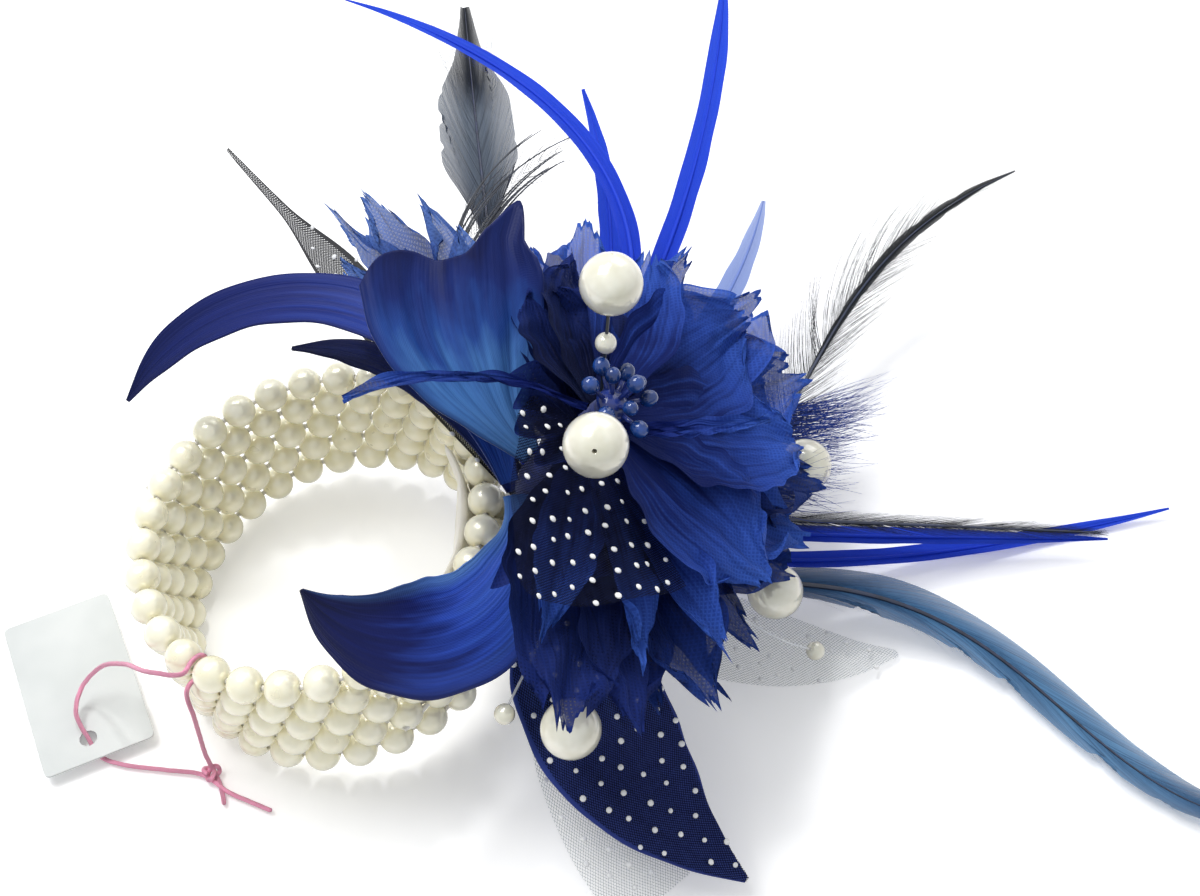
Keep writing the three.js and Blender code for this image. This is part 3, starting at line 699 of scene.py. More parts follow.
@dataclass
class Drape:
    """A sheet of cloth: where each point of its cut lies once it is made up."""

    points: Callable[[Array, Array], Array]
    flat: Callable[[Array, Array], Array]
    sides: tuple[float, float] = (-1.0, 1.0)

    def weave(
        self,
        name: str,
        counts: tuple[int, int],
        material: Material,
        held: Hold,
        slot: str,
        nodes: Sequence[str] = (),
        thickness: float = 0.0,
        spare: float = 1.0,
    ) -> tuple[Piece, dict]:
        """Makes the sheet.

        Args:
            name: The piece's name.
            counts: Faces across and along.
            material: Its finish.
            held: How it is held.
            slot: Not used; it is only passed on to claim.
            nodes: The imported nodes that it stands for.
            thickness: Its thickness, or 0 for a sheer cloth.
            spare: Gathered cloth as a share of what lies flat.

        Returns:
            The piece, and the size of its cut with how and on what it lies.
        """
        columns, rows = counts
        side, along = np.meshgrid(np.linspace(*self.sides, columns + 1), np.linspace(0, 1, rows + 1))
        points, flat = self.points(side, along), self.flat(side, along) * math.sqrt(spare)
        shares = np.stack([(side - self.sides[0]) / (self.sides[1] - self.sides[0]), along], -1)
        maps = {"cloth": flat.reshape(-1, 2) / CLOTH_UNIT, "shares": shares.reshape(-1, 2)}
        faces = grid_faces(rows + 1, columns + 1)
        piece = mesh_piece(name, points.reshape(-1, 3), faces, [material], maps=maps)
        if thickness:
            wall = piece.modifiers.new("cloth", "SOLIDIFY")
            wall.thickness, wall.offset = thickness * MM, 0
            apply_modifiers(piece)
        one, other = flat[1:, 1:] - flat[:-1, :-1], flat[1:, :-1] - flat[:-1, 1:]
        area = float(np.abs(one[..., 0] * other[..., 1] - one[..., 1] * other[..., 0]).sum() / 2)
        claim(piece, slot, *nodes)
        return piece, cut_of(flat, area, held)


def blade_drape(blade: Blade, detail: Callable | None = None) -> Drape:
    """The sheet of a blade.

    Args:
        blade: Its line and widths.
        detail: Takes side and place along, and gives extra lift and extra reach across, in millimetres.

    Returns:
        The sheet.
    """

    def points(side: Array, along: Array) -> Array:
        """Lifts the cut onto the blade."""
        lift, wide = detail(side, along) if detail else (0.0, 0.0)
        half = blade.half_at(along)
        return blade.at(along, half * side + wide, blade.lift_at(side, along) + lift)

    def flat(side: Array, along: Array) -> Array:
        """The cut before it is bent."""
        return np.stack([blade.half_at(along) * side, along * blade.length], -1)

    return Drape(points, flat)


def fan_drape(reach: Callable, start: float, end: float, lie: Callable, middle: float = 0.0) -> Drape:
    """A sheet gathered round the stem.

    Args:
        reach: Takes places round it and gives how far out it goes.
        start: The angle of its first side.
        end: The angle of its last side.
        lie: Takes places round and along and the angle there, and gives more angle and the depth.
        middle: The angle that points up in the cut.

    Returns:
        The sheet.
    """

    def polar(around: Array, along: Array) -> Pair:
        """Radius and angle of a point of the cut."""
        return STEM_CLEAR + (reach(around) - STEM_CLEAR) * along, start + (end - start) * around

    def points(around: Array, along: Array) -> Array:
        """Gathers the cut round the stem."""
        radius, angle = polar(around, along)
        more, depth = lie(around, along, angle)
        return flower_point(radius, angle + more, depth)

    def flat(around: Array, along: Array) -> Array:
        """The cut laid flat."""
        radius, angle = polar(around, along)
        turn = np.radians(angle - middle)
        return np.stack([radius * np.sin(turn), radius * np.cos(turn)], -1)

    return Drape(points, flat, (0.0, 1.0))


def paint(code: int) -> tuple[float, float, float, float]:
    """A colour written as on a paint card, made linear.

    Args:
        code: Red, green and blue as a hexadecimal number.

    Returns:
        The linear colour with a full alpha.
    """
    parts = [((code >> shift) & 255) / 255 for shift in (16, 8, 0)]
    linear = [c / 12.92 if c <= 0.04045 else ((c + 0.055) / 1.055) ** 2.4 for c in parts]
    return (*linear, 1.0)


class Recipe:
    """Builds one finish, or the surround, out of nodes."""

    def __init__(self, name: str, kind: str = "materials") -> None:
        """Starts empty.

        Args:
            name: The name of the material or world.
            kind: Which of Blender's lists it goes in.
        """
        self.owner = getattr(bpy.data, kind).new(name)
        self.owner.use_nodes = True
        self.tree = self.owner.node_tree
        self.tree.nodes.clear()

    def node(self, kind: str, values: dict | None = None, **settings: object) -> bpy.types.Node:
        """Adds a node.

        Args:
            kind: The node's type.
            values: Input names with a number, a colour or an output to link.
            **settings: The node's own settings.

        Returns:
            The node.
        """
        made = self.tree.nodes.new(kind)
        for key, value in settings.items():
            setattr(made, key, value)
        for key, value in (values or {}).items():
            if isinstance(value, Socket):
                self.tree.links.new(value, made.inputs[key])
            else:
                made.inputs[key].default_value = value
        return made

    def coordinates(self, cloth_map: str | None = None) -> Socket:
        """The piece's own place, or one of its maps."""
        if cloth_map is None:
            return self.node("ShaderNodeTexCoord").outputs["Object"]
        return self.node("ShaderNodeUVMap", uv_map=cloth_map).outputs["UV"]

    def split(self, vector: Socket) -> tuple[Socket, Socket]:
        """The first two parts of coordinates."""
        outputs = self.node("ShaderNodeSeparateXYZ", {"Vector": vector}).outputs
        return outputs["X"], outputs["Y"]

    def stretched(self, vector: Socket, across: float, along: float, turn: float = 0.0) -> Socket:
        """Coordinates scaled along each axis and turned by degrees."""
        values = {"Vector": vector, "Scale": (across, along, 1.0), "Rotation": (0, 0, math.radians(turn))}
        return self.node("ShaderNodeMapping", values).outputs["Vector"]

    def calc(self, operation: str, *values: object) -> Socket:
        """A piece of arithmetic on numbers or outputs."""
        return self.node("ShaderNodeMath", dict(enumerate(values)), operation=operation).outputs[0]

    def off_middle(self, across: Socket) -> Socket:
        """How far a place across lies from the middle of the cloth."""
        return self.calc("ABSOLUTE", self.calc("SUBTRACT", across, 0.5))

    def noise(self, vector: Socket, scale: float, detail: float = 3.0) -> Socket:
        """Soft noise of about 0 to 1."""
        values = {"Vector": vector, "Scale": scale, "Detail": detail}
        return self.node("ShaderNodeTexNoise", values).outputs[0]

    def waves(self, vector: Socket, scale: float, direction: str, warp: float = 0.0) -> Socket:
        """Even threads or ridges of 0 to 1."""
        values = {"Vector": vector, "Scale": scale, "Distortion": warp, "Detail": 1.0}
        settings = {"bands_direction": direction, "wave_profile": "SIN"}
        return self.node("ShaderNodeTexWave", values, **settings).outputs["Fac"]

    def ramp(self, factor: Socket, stops: Stops) -> Socket:
        """Reads a factor as colours.

        Args:
            factor: The factor.
            stops: Places from 0 to 1, each with its colour as on a paint card.

        Returns:
            The colour.
        """
        made = self.node("ShaderNodeValToRGB", {"Fac": factor})
        marks = made.color_ramp.elements
        while len(marks) > 1:
            marks.remove(marks[-1])
        marks[0].position, marks[0].color = stops[0][0], paint(stops[0][1])
        for place, code in stops[1:]:
            marks.new(place).color = paint(code)
        return made.outputs["Color"]

    def levels(self, factor: Socket, low: float, high: float, to_low: float, to_high: float) -> Socket:
        """A factor between two levels, moved between two others."""
        values = {"Value": factor, "From Min": low, "From Max": high, "To Min": to_low, "To Max": to_high}
        return self.node("ShaderNodeMapRange", values, clamp=True).outputs["Result"]

    def drifted(self, factor: Socket, deep: int, light: int) -> Socket:
        """A colour that drifts with soft noise from a deep tone to a light one."""
        return self.ramp(self.levels(factor, 0.3, 0.7, 0, 1), ((0, deep), (1, light)))

    def blend(self, factor: Socket, *colours: object) -> Socket:
        """A mix of two colours, as outputs or as on a paint card, by a factor."""
        first, second = (colour if isinstance(colour, Socket) else paint(colour) for colour in colours)
        return self.node("ShaderNodeMix", {0: factor, 6: first, 7: second}, data_type="RGBA").outputs[2]

    def bump(self, height: Socket, depth: float, under: Socket | None = None) -> Socket:
        """Adds fine relief.

        Args:
            height: Its height, from 0 to 1.
            depth: How deep it is, in millimetres.
            under: Other relief that it lies on, if any.

        Returns:
            The normal.
        """
        values = {"Height": height, "Strength": 1.0, "Distance": depth * MM}
        if under is not None:
            values["Normal"] = under
        return self.node("ShaderNodeBump", values).outputs["Normal"]

    def surface(self, values: dict, through: tuple[float, Socket] | None = None) -> Material:
        """Ends the finish.

        Args:
            values: The shader's inputs.
            through: How much light a thin cloth lets through, and its colour.

        Returns:
            The material.
        """
        shader = self.node("ShaderNodeBsdfPrincipled", values).outputs[0]
        if through is not None:
            glow = self.node("ShaderNodeBsdfTranslucent", {"Color": through[1]}).outputs[0]
            shader = self.node("ShaderNodeMixShader", {0: through[0], 1: shader, 2: glow}).outputs[0]
        self.node("ShaderNodeOutputMaterial", {"Surface": shader})
        return self.owner


@dataclass(frozen=True)
class Toned:
    """The name and the two tones of a finish."""

    name: str
    light: int
    deep: int


@dataclass(frozen=True)
class PearlFinish(Toned):
    """Glazed imitation pearl, with a faint cloudiness under its coat."""

    shine: float
    film: float = 0.0

    def build(self) -> Material:
        """Mixes the pearl's finish."""
        mix = Recipe(self.name)
        place = mix.coordinates()
        cloud = mix.noise(place, 260, 2)
        values = {
            "Base Color": mix.drifted(cloud, self.deep, self.light),
            "Roughness": mix.levels(cloud, 0.3, 0.7, self.shine, self.shine + 0.05),
            "Normal": mix.bump(mix.noise(place, 2600, 2), 0.004),
            "Coat Weight": 1.0,
            "Coat Roughness": 0.02,
            "Metallic": 0.16,
            "Subsurface Weight": 0.12,
            "Subsurface Radius": (0.6, 0.5, 0.4),
            "Subsurface Scale": 0.001,
            "Sheen Weight": 0.1,
            "Sheen Roughness": 0.4,
        }
        if self.film:
            values.update({"Thin Film Thickness": self.film, "Thin Film IOR": 1.45})
        return mix.surface(values)


@dataclass(frozen=True)
class SatinFinish:
    """Dyed polyester satin, from a bright root to a navy tip, with pressed creases, lengthwise streaks of
    painted pleat shade and, where a rim colour is given, a painted highlight along a rolled rim.
    """

    name: str
    stops: Stops
    # The deep colour of the streaks of painted pleat shade and of the darker edges.
    edge: int
    crease: float = 0.16
    through: float = 0.12
    # Colour of the painted highlight along a rolled rim, or 0 for none.
    rim: int = 0

    def build(self) -> Material:
        """Mixes the satin."""
        mix = Recipe(self.name)
        shares, cloth = mix.coordinates("shares"), mix.coordinates("cloth")
        across, along = mix.split(shares)
        drift = mix.levels(mix.noise(mix.stretched(shares, 3.0, 1.2), 2.4), 0.25, 0.75, -0.16, 0.16)
        dye = mix.ramp(mix.calc("ADD", along, drift), self.stops)
        # Lengthwise streaks of painted pleat shade in the edge colour; the same noise sets the roughness and
        # a bump.
        streak = mix.noise(mix.stretched(shares, 34.0, 1.6), 1.0, 4)
        dye = mix.blend(mix.levels(streak, 0.42, 0.72, 0, 0.42), dye, self.edge)
        dye = mix.blend(mix.levels(mix.off_middle(across), 0.41, 0.5, 0, 0.75), dye, self.edge)
        # Painted highlight along the rolled rim, fading towards the tip.
        if self.rim:
            edge, faded = mix.levels(across, 0.84, 0.95, 0, 0.85), mix.levels(along, 0.45, 0.8, 1, 0.25)
            dye = mix.blend(mix.calc("MULTIPLY", edge, faded), dye, self.rim)
        relief = mix.bump(mix.noise(mix.stretched(shares, 16.0, 0.9), 1.0), self.crease * 2.2)
        relief = mix.bump(streak, self.crease * 0.6, relief)
        values = {
            "Base Color": dye,
            "Roughness": mix.levels(streak, 0.3, 0.7, 0.36, 0.5),
            "Normal": mix.bump(mix.waves(mix.stretched(cloth, 1.0, 1.0, 45), 90, "X", 0.6), 0.012, relief),
            "Sheen Weight": 0.06,
            "Sheen Roughness": 0.35,
            "Sheen Tint": paint(0x7F9BE8),
            "Specular IOR Level": 0.16,
        }
        return mix.surface(values, (self.through, dye))


@dataclass(frozen=True)
class OrganzaFinish(Toned):
    """Sheer organza: a fine open weave, thinner and paler towards its frayed ends, with painted shade towards
    its root and in its creases.
    """

    cover: float = 0.97
    tip_cover: float = 0.86
    pitch: float = 0.3
    thin: int = 0x4068C0

    def build(self) -> Material:
        """Mixes the organza."""
        mix = Recipe(self.name)
        cloth, shares = mix.coordinates("cloth"), mix.coordinates("shares")
        across, along = mix.split(shares)
        threads = CLOTH_UNIT / self.pitch / 6.5
        weave = mix.calc("MAXIMUM", *(mix.waves(cloth, threads, axis, 0.3) for axis in "XY"))
        cloud = mix.noise(mix.stretched(cloth, 9.0, 9.0), 1.0, 4)
        crease = mix.noise(mix.stretched(shares, 9.0, 1.4), 1.0, 4)
        pleat = mix.noise(mix.stretched(shares, 30.0, 1.5), 1.0, 2)
        # Painted shade and light: the tone darkens towards the root, deep in the flower, and follows the
        # crease and pleat noises of the bump, darker in the creases and lighter on the ridges, with random
        # cloudiness mixed in.
        tone = mix.levels(along, 0.1, 0.9, -0.26, 0.1)
        for part, share in ((cloud, 0.3), (crease, 0.3), (pleat, 0.4)):
            tone = mix.calc("MULTIPLY_ADD", part, share, tone)
        dye = mix.ramp(mix.levels(tone, 0.34, 0.62, 0, 1), ((0, self.deep), (1, self.light)))
        dye = mix.blend(mix.levels(along, 0.7, 1.0, 0, 0.5), dye, self.thin)
        dye = mix.blend(mix.levels(weave, 0.5, 1.0, 0.26, 0), dye, self.deep)
        sides, tip = mix.levels(mix.off_middle(across), 0.485, 0.5, 0, 1), mix.levels(along, 0.97, 1, 0, 1)
        cells, out = mix.levels(weave, 0.2, 0.8, 0.14, 0), mix.levels(along, 0.2, 1, 0.2, 1)
        open_weave = mix.calc("MULTIPLY", cells, out)
        cover = mix.calc("SUBTRACT", mix.levels(along, 0.3, 1.0, self.cover, self.tip_cover), open_weave)
        relief = mix.bump(pleat, 0.3, mix.bump(crease, 0.5, mix.bump(cloud, 0.5)))
        values = {
            "Base Color": dye,
            "Roughness": 0.62,
            "Alpha": mix.calc("MINIMUM", mix.calc("ADD", cover, mix.calc("MAXIMUM", tip, sides)), 1.0),
            "Normal": mix.bump(weave, 0.03, relief),
            "Sheen Weight": 0.08,
            "Sheen Roughness": 0.35,
            "Sheen Tint": paint(0x6F8CE0),
            "Specular IOR Level": 0.08,
        }
        return mix.surface(values, (0.22, dye))


@dataclass(frozen=True)
class NetFinish(Toned):
    """Diamond net: thin crossing threads with open cells."""

    cell: float
    thickness: float
    hem: float = 0.0

    def build(self) -> Material:
        """Mixes the net."""
        mix = Recipe(self.name)
        cloth = mix.coordinates("cloth")
        across, along = mix.split(cloth)
        along = mix.calc("MULTIPLY", along, CLOTH_UNIT / self.cell)
        across = mix.calc("MULTIPLY", across, 1.4 * CLOTH_UNIT / self.cell)
        cells = [mix.calc("FRACT", mix.calc(how, along, across)) for how in ("ADD", "SUBTRACT")]
        thread = mix.calc("MAXIMUM", *(mix.calc("LESS_THAN", cell, self.thickness) for cell in cells))
        if self.hem:
            off = mix.off_middle(mix.split(mix.coordinates("shares"))[0])
            thread = mix.calc("MAXIMUM", thread, mix.calc("GREATER_THAN", off, 0.5 - self.hem))
        dye = mix.blend(mix.levels(mix.noise(cloth, 60, 2), 0.3, 0.7, 0, 0.35), self.light, self.deep)
        alpha = mix.levels(thread, 0, 1, 0.06, 0.96)
        return mix.surface({"Base Color": dye, "Roughness": 0.7, "Alpha": alpha, "Specular IOR Level": 0.06})


@dataclass(frozen=True)
class FlockFinish(Toned):
    """White flock, felt or brushed ribbon: short fibres with a soft nap."""

    nap: float
    fineness: float

    def build(self) -> Material:
        """Mixes the nap."""
        mix = Recipe(self.name)
        place = mix.coordinates()
        fibre, patch = mix.noise(place, self.fineness, 5), mix.noise(place, self.fineness / 14)
        dye = mix.drifted(patch, self.deep, self.light)
        dye = mix.blend(mix.levels(fibre, 0.35, 0.65, 0.35, 0), dye, self.deep)
        relief = mix.bump(fibre, self.nap, mix.bump(patch, self.nap * 2))
        values = {"Base Color": dye, "Roughness": 0.92, "Normal": relief}
        return mix.surface({**values, "Sheen Weight": 0.4, "Sheen Roughness": 0.6})


@dataclass(frozen=True)
class FeatherFinish:
    """Dyed feather: streaked along its barbs, from a root colour to a tip colour."""

    name: str
    stops: Stops
    streak: int
    shine: float = 0.42
    through: float = 0.25
    lean: float = 0.25
    lines: float = 160.0
    airy: float = 0.0

    def build(self) -> Material:
        """Mixes the dye and the streaks."""
        mix = Recipe(self.name)
        across, along = mix.split(mix.coordinates("shares"))
        off = mix.off_middle(across)
        onward = mix.calc("SUBTRACT", along, mix.calc("MULTIPLY", off, self.lean))
        barbs = {"X": mix.calc("MULTIPLY", onward, self.lines), "Y": across}
        streak = mix.noise(mix.node("ShaderNodeCombineXYZ", barbs).outputs[0], 1.0)
        dye = mix.blend(mix.levels(streak, 0.42, 0.68, 0, 0.75), mix.ramp(along, self.stops), self.streak)
        values = {
            "Base Color": dye,
            "Roughness": mix.levels(streak, 0.3, 0.7, self.shine, self.shine + 0.16),
            "Normal": mix.bump(streak, 0.12),
            "Sheen Weight": 0.08,
            "Sheen Roughness": 0.4,
            "Sheen Tint": paint(0x9FB4F5),
            "Specular IOR Level": 0.2,
        }
        if self.airy:
            edge, gaps = mix.levels(off, 0.12, 0.5, 0, self.airy), mix.levels(streak, 0.35, 0.6, 0.3, 1)
            values["Alpha"] = mix.calc("SUBTRACT", 1.0, mix.calc("MULTIPLY", edge, gaps))
        return mix.surface(values, (self.through, dye))


@dataclass(frozen=True)
class GlossFinish(Toned):
    """A hard glossy thing: a dyed bead, a lacquered wire or a clear filament."""

    shine: float
    clear: float = 0.0

    def build(self) -> Material:
        """Mixes the gloss."""
        mix = Recipe(self.name)
        place = mix.coordinates()
        cloud = mix.noise(place, 420)
        values = {
            "Base Color": mix.drifted(cloud, self.deep, self.light),
            "Roughness": mix.levels(cloud, 0.3, 0.7, self.shine, self.shine + 0.08),
            "Normal": mix.bump(mix.noise(place, 1800, 2), 0.01),
            "Coat Weight": 0.9,
            "Coat Roughness": 0.03,
            "Specular IOR Level": 0.25,
        }
        if self.clear:
            values["Alpha"] = 1 - self.clear
        return mix.surface(values)


@dataclass(frozen=True)
class TapeFinish(Toned):
    """Crinkled floral tape wound round a stem."""

    def build(self) -> Material:
        """Mixes the tape."""
        mix = Recipe(self.name)
        crinkle = mix.noise(mix.stretched(mix.coordinates("cloth"), 60.0, 240.0), 1.0, 4)
        values = {"Base Color": mix.drifted(crinkle, self.deep, self.light), "Roughness": 0.78}
        return mix.surface({**values, "Normal": mix.bump(crinkle, 0.09), "Sheen Weight": 0.2})


@dataclass(frozen=True)
class CardFinish(Toned):
    """Coated white card with a faint fibre and a soft edge."""

    def build(self) -> Material:
        """Mixes the card."""
        mix = Recipe(self.name)
        place = mix.coordinates()
        fibre = mix.noise(mix.stretched(place, 1.0, 2.2, 25), 900, 4)
        values = {
            "Base Color": mix.drifted(mix.noise(place, 90, 2), self.deep, self.light),
            "Roughness": mix.levels(fibre, 0.3, 0.7, 0.38, 0.5),
            "Normal": mix.bump(fibre, 0.008),
            "Specular IOR Level": 0.45,
        }
        return mix.surface(values)


@dataclass(frozen=True)
class YarnFinish(Toned):
    """A twisted thread, with a little painted shade between its plies."""

    twist: float = 55.0

    def build(self) -> Material:
        """Mixes the thread."""
        mix = Recipe(self.name)
        wound = mix.coordinates("cloth")
        hair = mix.waves(mix.stretched(wound, 1.0, 1.0, 35), self.twist, "X", 1.0)
        dye = mix.drifted(mix.noise(wound, 30), self.deep, self.light)
        # Painted shade in the grooves between the plies, where the bump is low.
        dye = mix.blend(mix.levels(hair, 0.2, 0.8, 0.35, 0), dye, self.deep)
        values = {"Base Color": dye, "Roughness": 0.66, "Normal": mix.bump(hair, 0.03), "Sheen Weight": 0.3}
        return mix.surface(values, (0.12, dye))


ARCH = ((0, 0x3460C4), (0.25, 0x2442A0), (0.6, 0x18266E), (1, 0x101A4C))
FAN = ((0, 0x5A8AC6), (0.34, 0x487ABC), (0.58, 0x264A96), (0.78, 0x182A6C), (1, 0x111A4C))
CURL = ((0, 0x4A78BE), (0.22, 0x3E64C4), (0.46, 0x3454C0), (0.7, 0x1A2464), (1, 0x10163C))
LEAF = ((0, 0x5674C2), (0.5, 0x4458AC), (1, 0x3C4E9E))
BIOT = ((0, 0x15308F), (0.3, 0x1B3FD0), (1, 0x2C54E4))
PALE = ((0, 0x3C5AB8), (0.4, 0x7C96DA), (1, 0xB4C2EA))
HACKLE = (
    (0, 0x10162A), (0.48, 0x1C2438), (0.58, 0x4A5462), (0.74, 0x5A6470), (0.82, 0x20262E), (1, 0x0A0C10),
)
COQUE = ((0, 0x1C2A5A), (0.35, 0x1A2028), (1, 0x0E1216))
FLUFF = ((0, 0x152A74), (0.3, 0x1A3A96), (1, 0x22366E))
TRAILING = ((0, 0x142038), (0.3, 0x26466E), (0.55, 0x4E7CA6), (0.85, 0x6290B8), (1, 0x36587E))
FINISHES = (
    PearlFinish("ivory_strand_pearl", 0xFFFBE6, 0xF6F0D2, 0.27),
    PearlFinish("white_spray_pearl", 0xF3F1E3, 0xDEDBC6, 0.17, 330.0),
    GlossFinish("elastic_thread", 0xF2F0EA, 0xDCD8CE, 0.3),
    SatinFinish("satin_arch", ARCH, 0x141E5A),
    SatinFinish("satin_fan", FAN, 0x142564),
    # The curl's rim colour is a painted highlight along its rolled edge.
    SatinFinish("satin_curl", CURL, 0x141A50, rim=0x5A86CC),
    SatinFinish("satin_tail", ((0, 0x243C8C), (1, 0x141C4C)), 0x10163E),
    SatinFinish("satin_leaf", LEAF, 0x24327A, 0.12),
    OrganzaFinish("organza_royal", 0x3558BC, 0x101F5C),
    OrganzaFinish("organza_worn", 0x3A5AA8, 0x16265E, 0.98, 0.9, thin=0x6A8AC6),
    # Copies of the organza with painted shade: the first for layers deep in the flower, the second darker,
    # for the ruffles and the petals marked dark.
    OrganzaFinish("organza_navy", 0x1A3076, 0x070E30, 0.99, 0.93, thin=0x2A4690),
    OrganzaFinish("organza_shade", 0x1A2A66, 0x0A1030, 1.0, 0.94, thin=0x1C2E78),
    OrganzaFinish("organza_folded", 0x3454B0, 0x15246A, 1.0, 0.92),
    NetFinish("navy_net", 0x080A1A, 0x1C2448, 0.6, 0.3),
    NetFinish("corner_net", 0x080A12, 0x141826, 0.5, 0.62, 0.1),
    NetFinish("grey_net", 0xA4AAAC, 0xBCC1C2, 0.72, 0.16),
    FlockFinish("white_flock", 0xFAFAF8, 0xE2E4E8, 0.04, 4000),
    FlockFinish("cream_ribbon", 0xFBF8F1, 0xEFEADD, 0.03, 900),
    FlockFinish("white_felt", 0xF6F4EE, 0xE2DFD6, 0.2, 1300),
    TapeFinish("floral_tape", 0x24357E, 0x10183F),
    GlossFinish("blue_bead", 0x1A4694, 0x0A2050, 0.12),
    GlossFinish("blue_stalk", 0x1A358C, 0x101F58, 0.45),
    GlossFinish("dark_wire", 0x222A38, 0x0E121C, 0.35),
    GlossFinish("clear_filament", 0xEDEFF2, 0xD6DADF, 0.12, 0.45),
    CardFinish("tag_card", 0xD0D3D2, 0xC4C8C7),
    YarnFinish("pink_string", 0xFFB8D4, 0xFF9CC0),
    FeatherFinish("royal_biot", BIOT, 0x1A3CC4, 0.4, 0.25, 9, 30),
    FeatherFinish("pale_biot", PALE, 0x8CA2DC, 0.4, 0.35, 9, 30),
    FeatherFinish("dark_hackle", HACKLE, 0x1A202A, airy=0.4),
    FeatherFinish("dark_coque", COQUE, 0x07090C, airy=0.25),
    FeatherFinish("navy_fluff", FLUFF, 0x101C48),
    FeatherFinish("blue_black_feather", TRAILING, 0x18345C, airy=0.45),
    GlossFinish("feather_quill", 0x2A3450, 0x141A2C, 0.35),
)


@dataclass
class Studio:
    """The camera, the soft light and the pale floor."""

    lens: float = 50.0
    sensor: float = 36.0
    eye: tuple[float, float, float] = (-0.0134, -0.1794, 0.2552)
    tilt: float = 36.6
    floor_size: float = 6.0
    floor_lift: float = 0.2
    floor_height: float = -0.0004
    surround: float = 0.58
    glossy_surround: float = 0.28
    aim: tuple[float, float, float] = (-0.02, 0, 0.03)
    lamps: tuple[tuple[str, tuple[float, float, float], float, float], ...] = (
        ("key_lamp", (-0.26, 0.1, 0.6), 0.3, 2.5),
        ("spark_lamp", (-0.08, 0.2, 0.5), 0.05, 0.6),
        ("back_lamp", (0.22, 0.5, 0.5), 0.4, 0.7),
    )

    def camera(self) -> None:
        """Stands the camera where the photograph was taken."""
        data = bpy.data.cameras.new("camera")
        data.lens, data.sensor_width, data.sensor_fit = self.lens, self.sensor, "AUTO"
        data.clip_start, data.clip_end = 0.01, 20
        made = bpy.data.objects.new("camera", data)
        made.location, made.rotation_euler = self.eye, (math.radians(self.tilt), 0, 0)
        bpy.context.scene.collection.objects.link(made)
        bpy.context.scene.camera = made

    def floor(self) -> None:
        """Lays the pale floor, which keeps the object's shadow."""
        deselect()
        bpy.ops.mesh.primitive_plane_add(size=self.floor_size, location=(0, 0, self.floor_height))
        ground = bpy.context.object
        ground.name = "floor"
        mix = Recipe("pale_floor")
        tone = mix.ramp(mix.noise(mix.coordinates(), 2.0, 2), ((0, 0xFBFBFC), (1, 0xFEFEFE)))
        seen = mix.node("ShaderNodeLightPath").outputs["Is Camera Ray"]
        values = {"Base Color": tone, "Roughness": 0.95, "Specular IOR Level": 0.1}
        values["Emission Color"] = paint(0xFFFFFF)
        values["Emission Strength"] = mix.calc("MULTIPLY", seen, self.floor_lift)
        ground.data.materials.append(mix.surface(values))

    def world(self) -> None:
        """Sets a soft white surround that gloss and clear things show too."""
        mix = Recipe("surround", "worlds")
        bpy.context.scene.world = mix.owner
        rays = mix.node("ShaderNodeLightPath").outputs
        seen = mix.calc("MAXIMUM", rays["Is Camera Ray"], rays["Is Transmission Ray"])
        glossy = mix.calc("MULTIPLY_ADD", rays["Is Glossy Ray"], self.glossy_surround, self.surround)
        values = {"Color": (0.97, 0.985, 1.0, 1.0), "Strength": mix.calc("MAXIMUM", seen, glossy)}
        light = mix.node("ShaderNodeBackground", values)
        mix.node("ShaderNodeOutputWorld", {"Surface": light.outputs[0]})

    def lamp(self, name: str, place: Sequence[float], size: float, power: float) -> None:
        """Hangs a square soft lamp that faces the flower.

        Args:
            name: The lamp's name.
            place: Where it hangs, in metres.
            size: The length of its sides, in metres.
            power: Its power in watts.
        """
        data = bpy.data.lights.new(name, "AREA")
        data.size, data.energy = size, power
        made = bpy.data.objects.new(name, data)
        made.location, made.rotation_mode = place, "QUATERNION"
        made.rotation_quaternion = (Vector(place) - Vector(self.aim)).to_track_quat("Z", "Y")
        bpy.context.scene.collection.objects.link(made)

    def build(self) -> None:
        """Sets up the studio."""
        bpy.context.scene.view_settings.view_transform = "Standard"
        self.camera()
        self.floor()
        self.world()
        for lamp in self.lamps:
            self.lamp(*lamp)


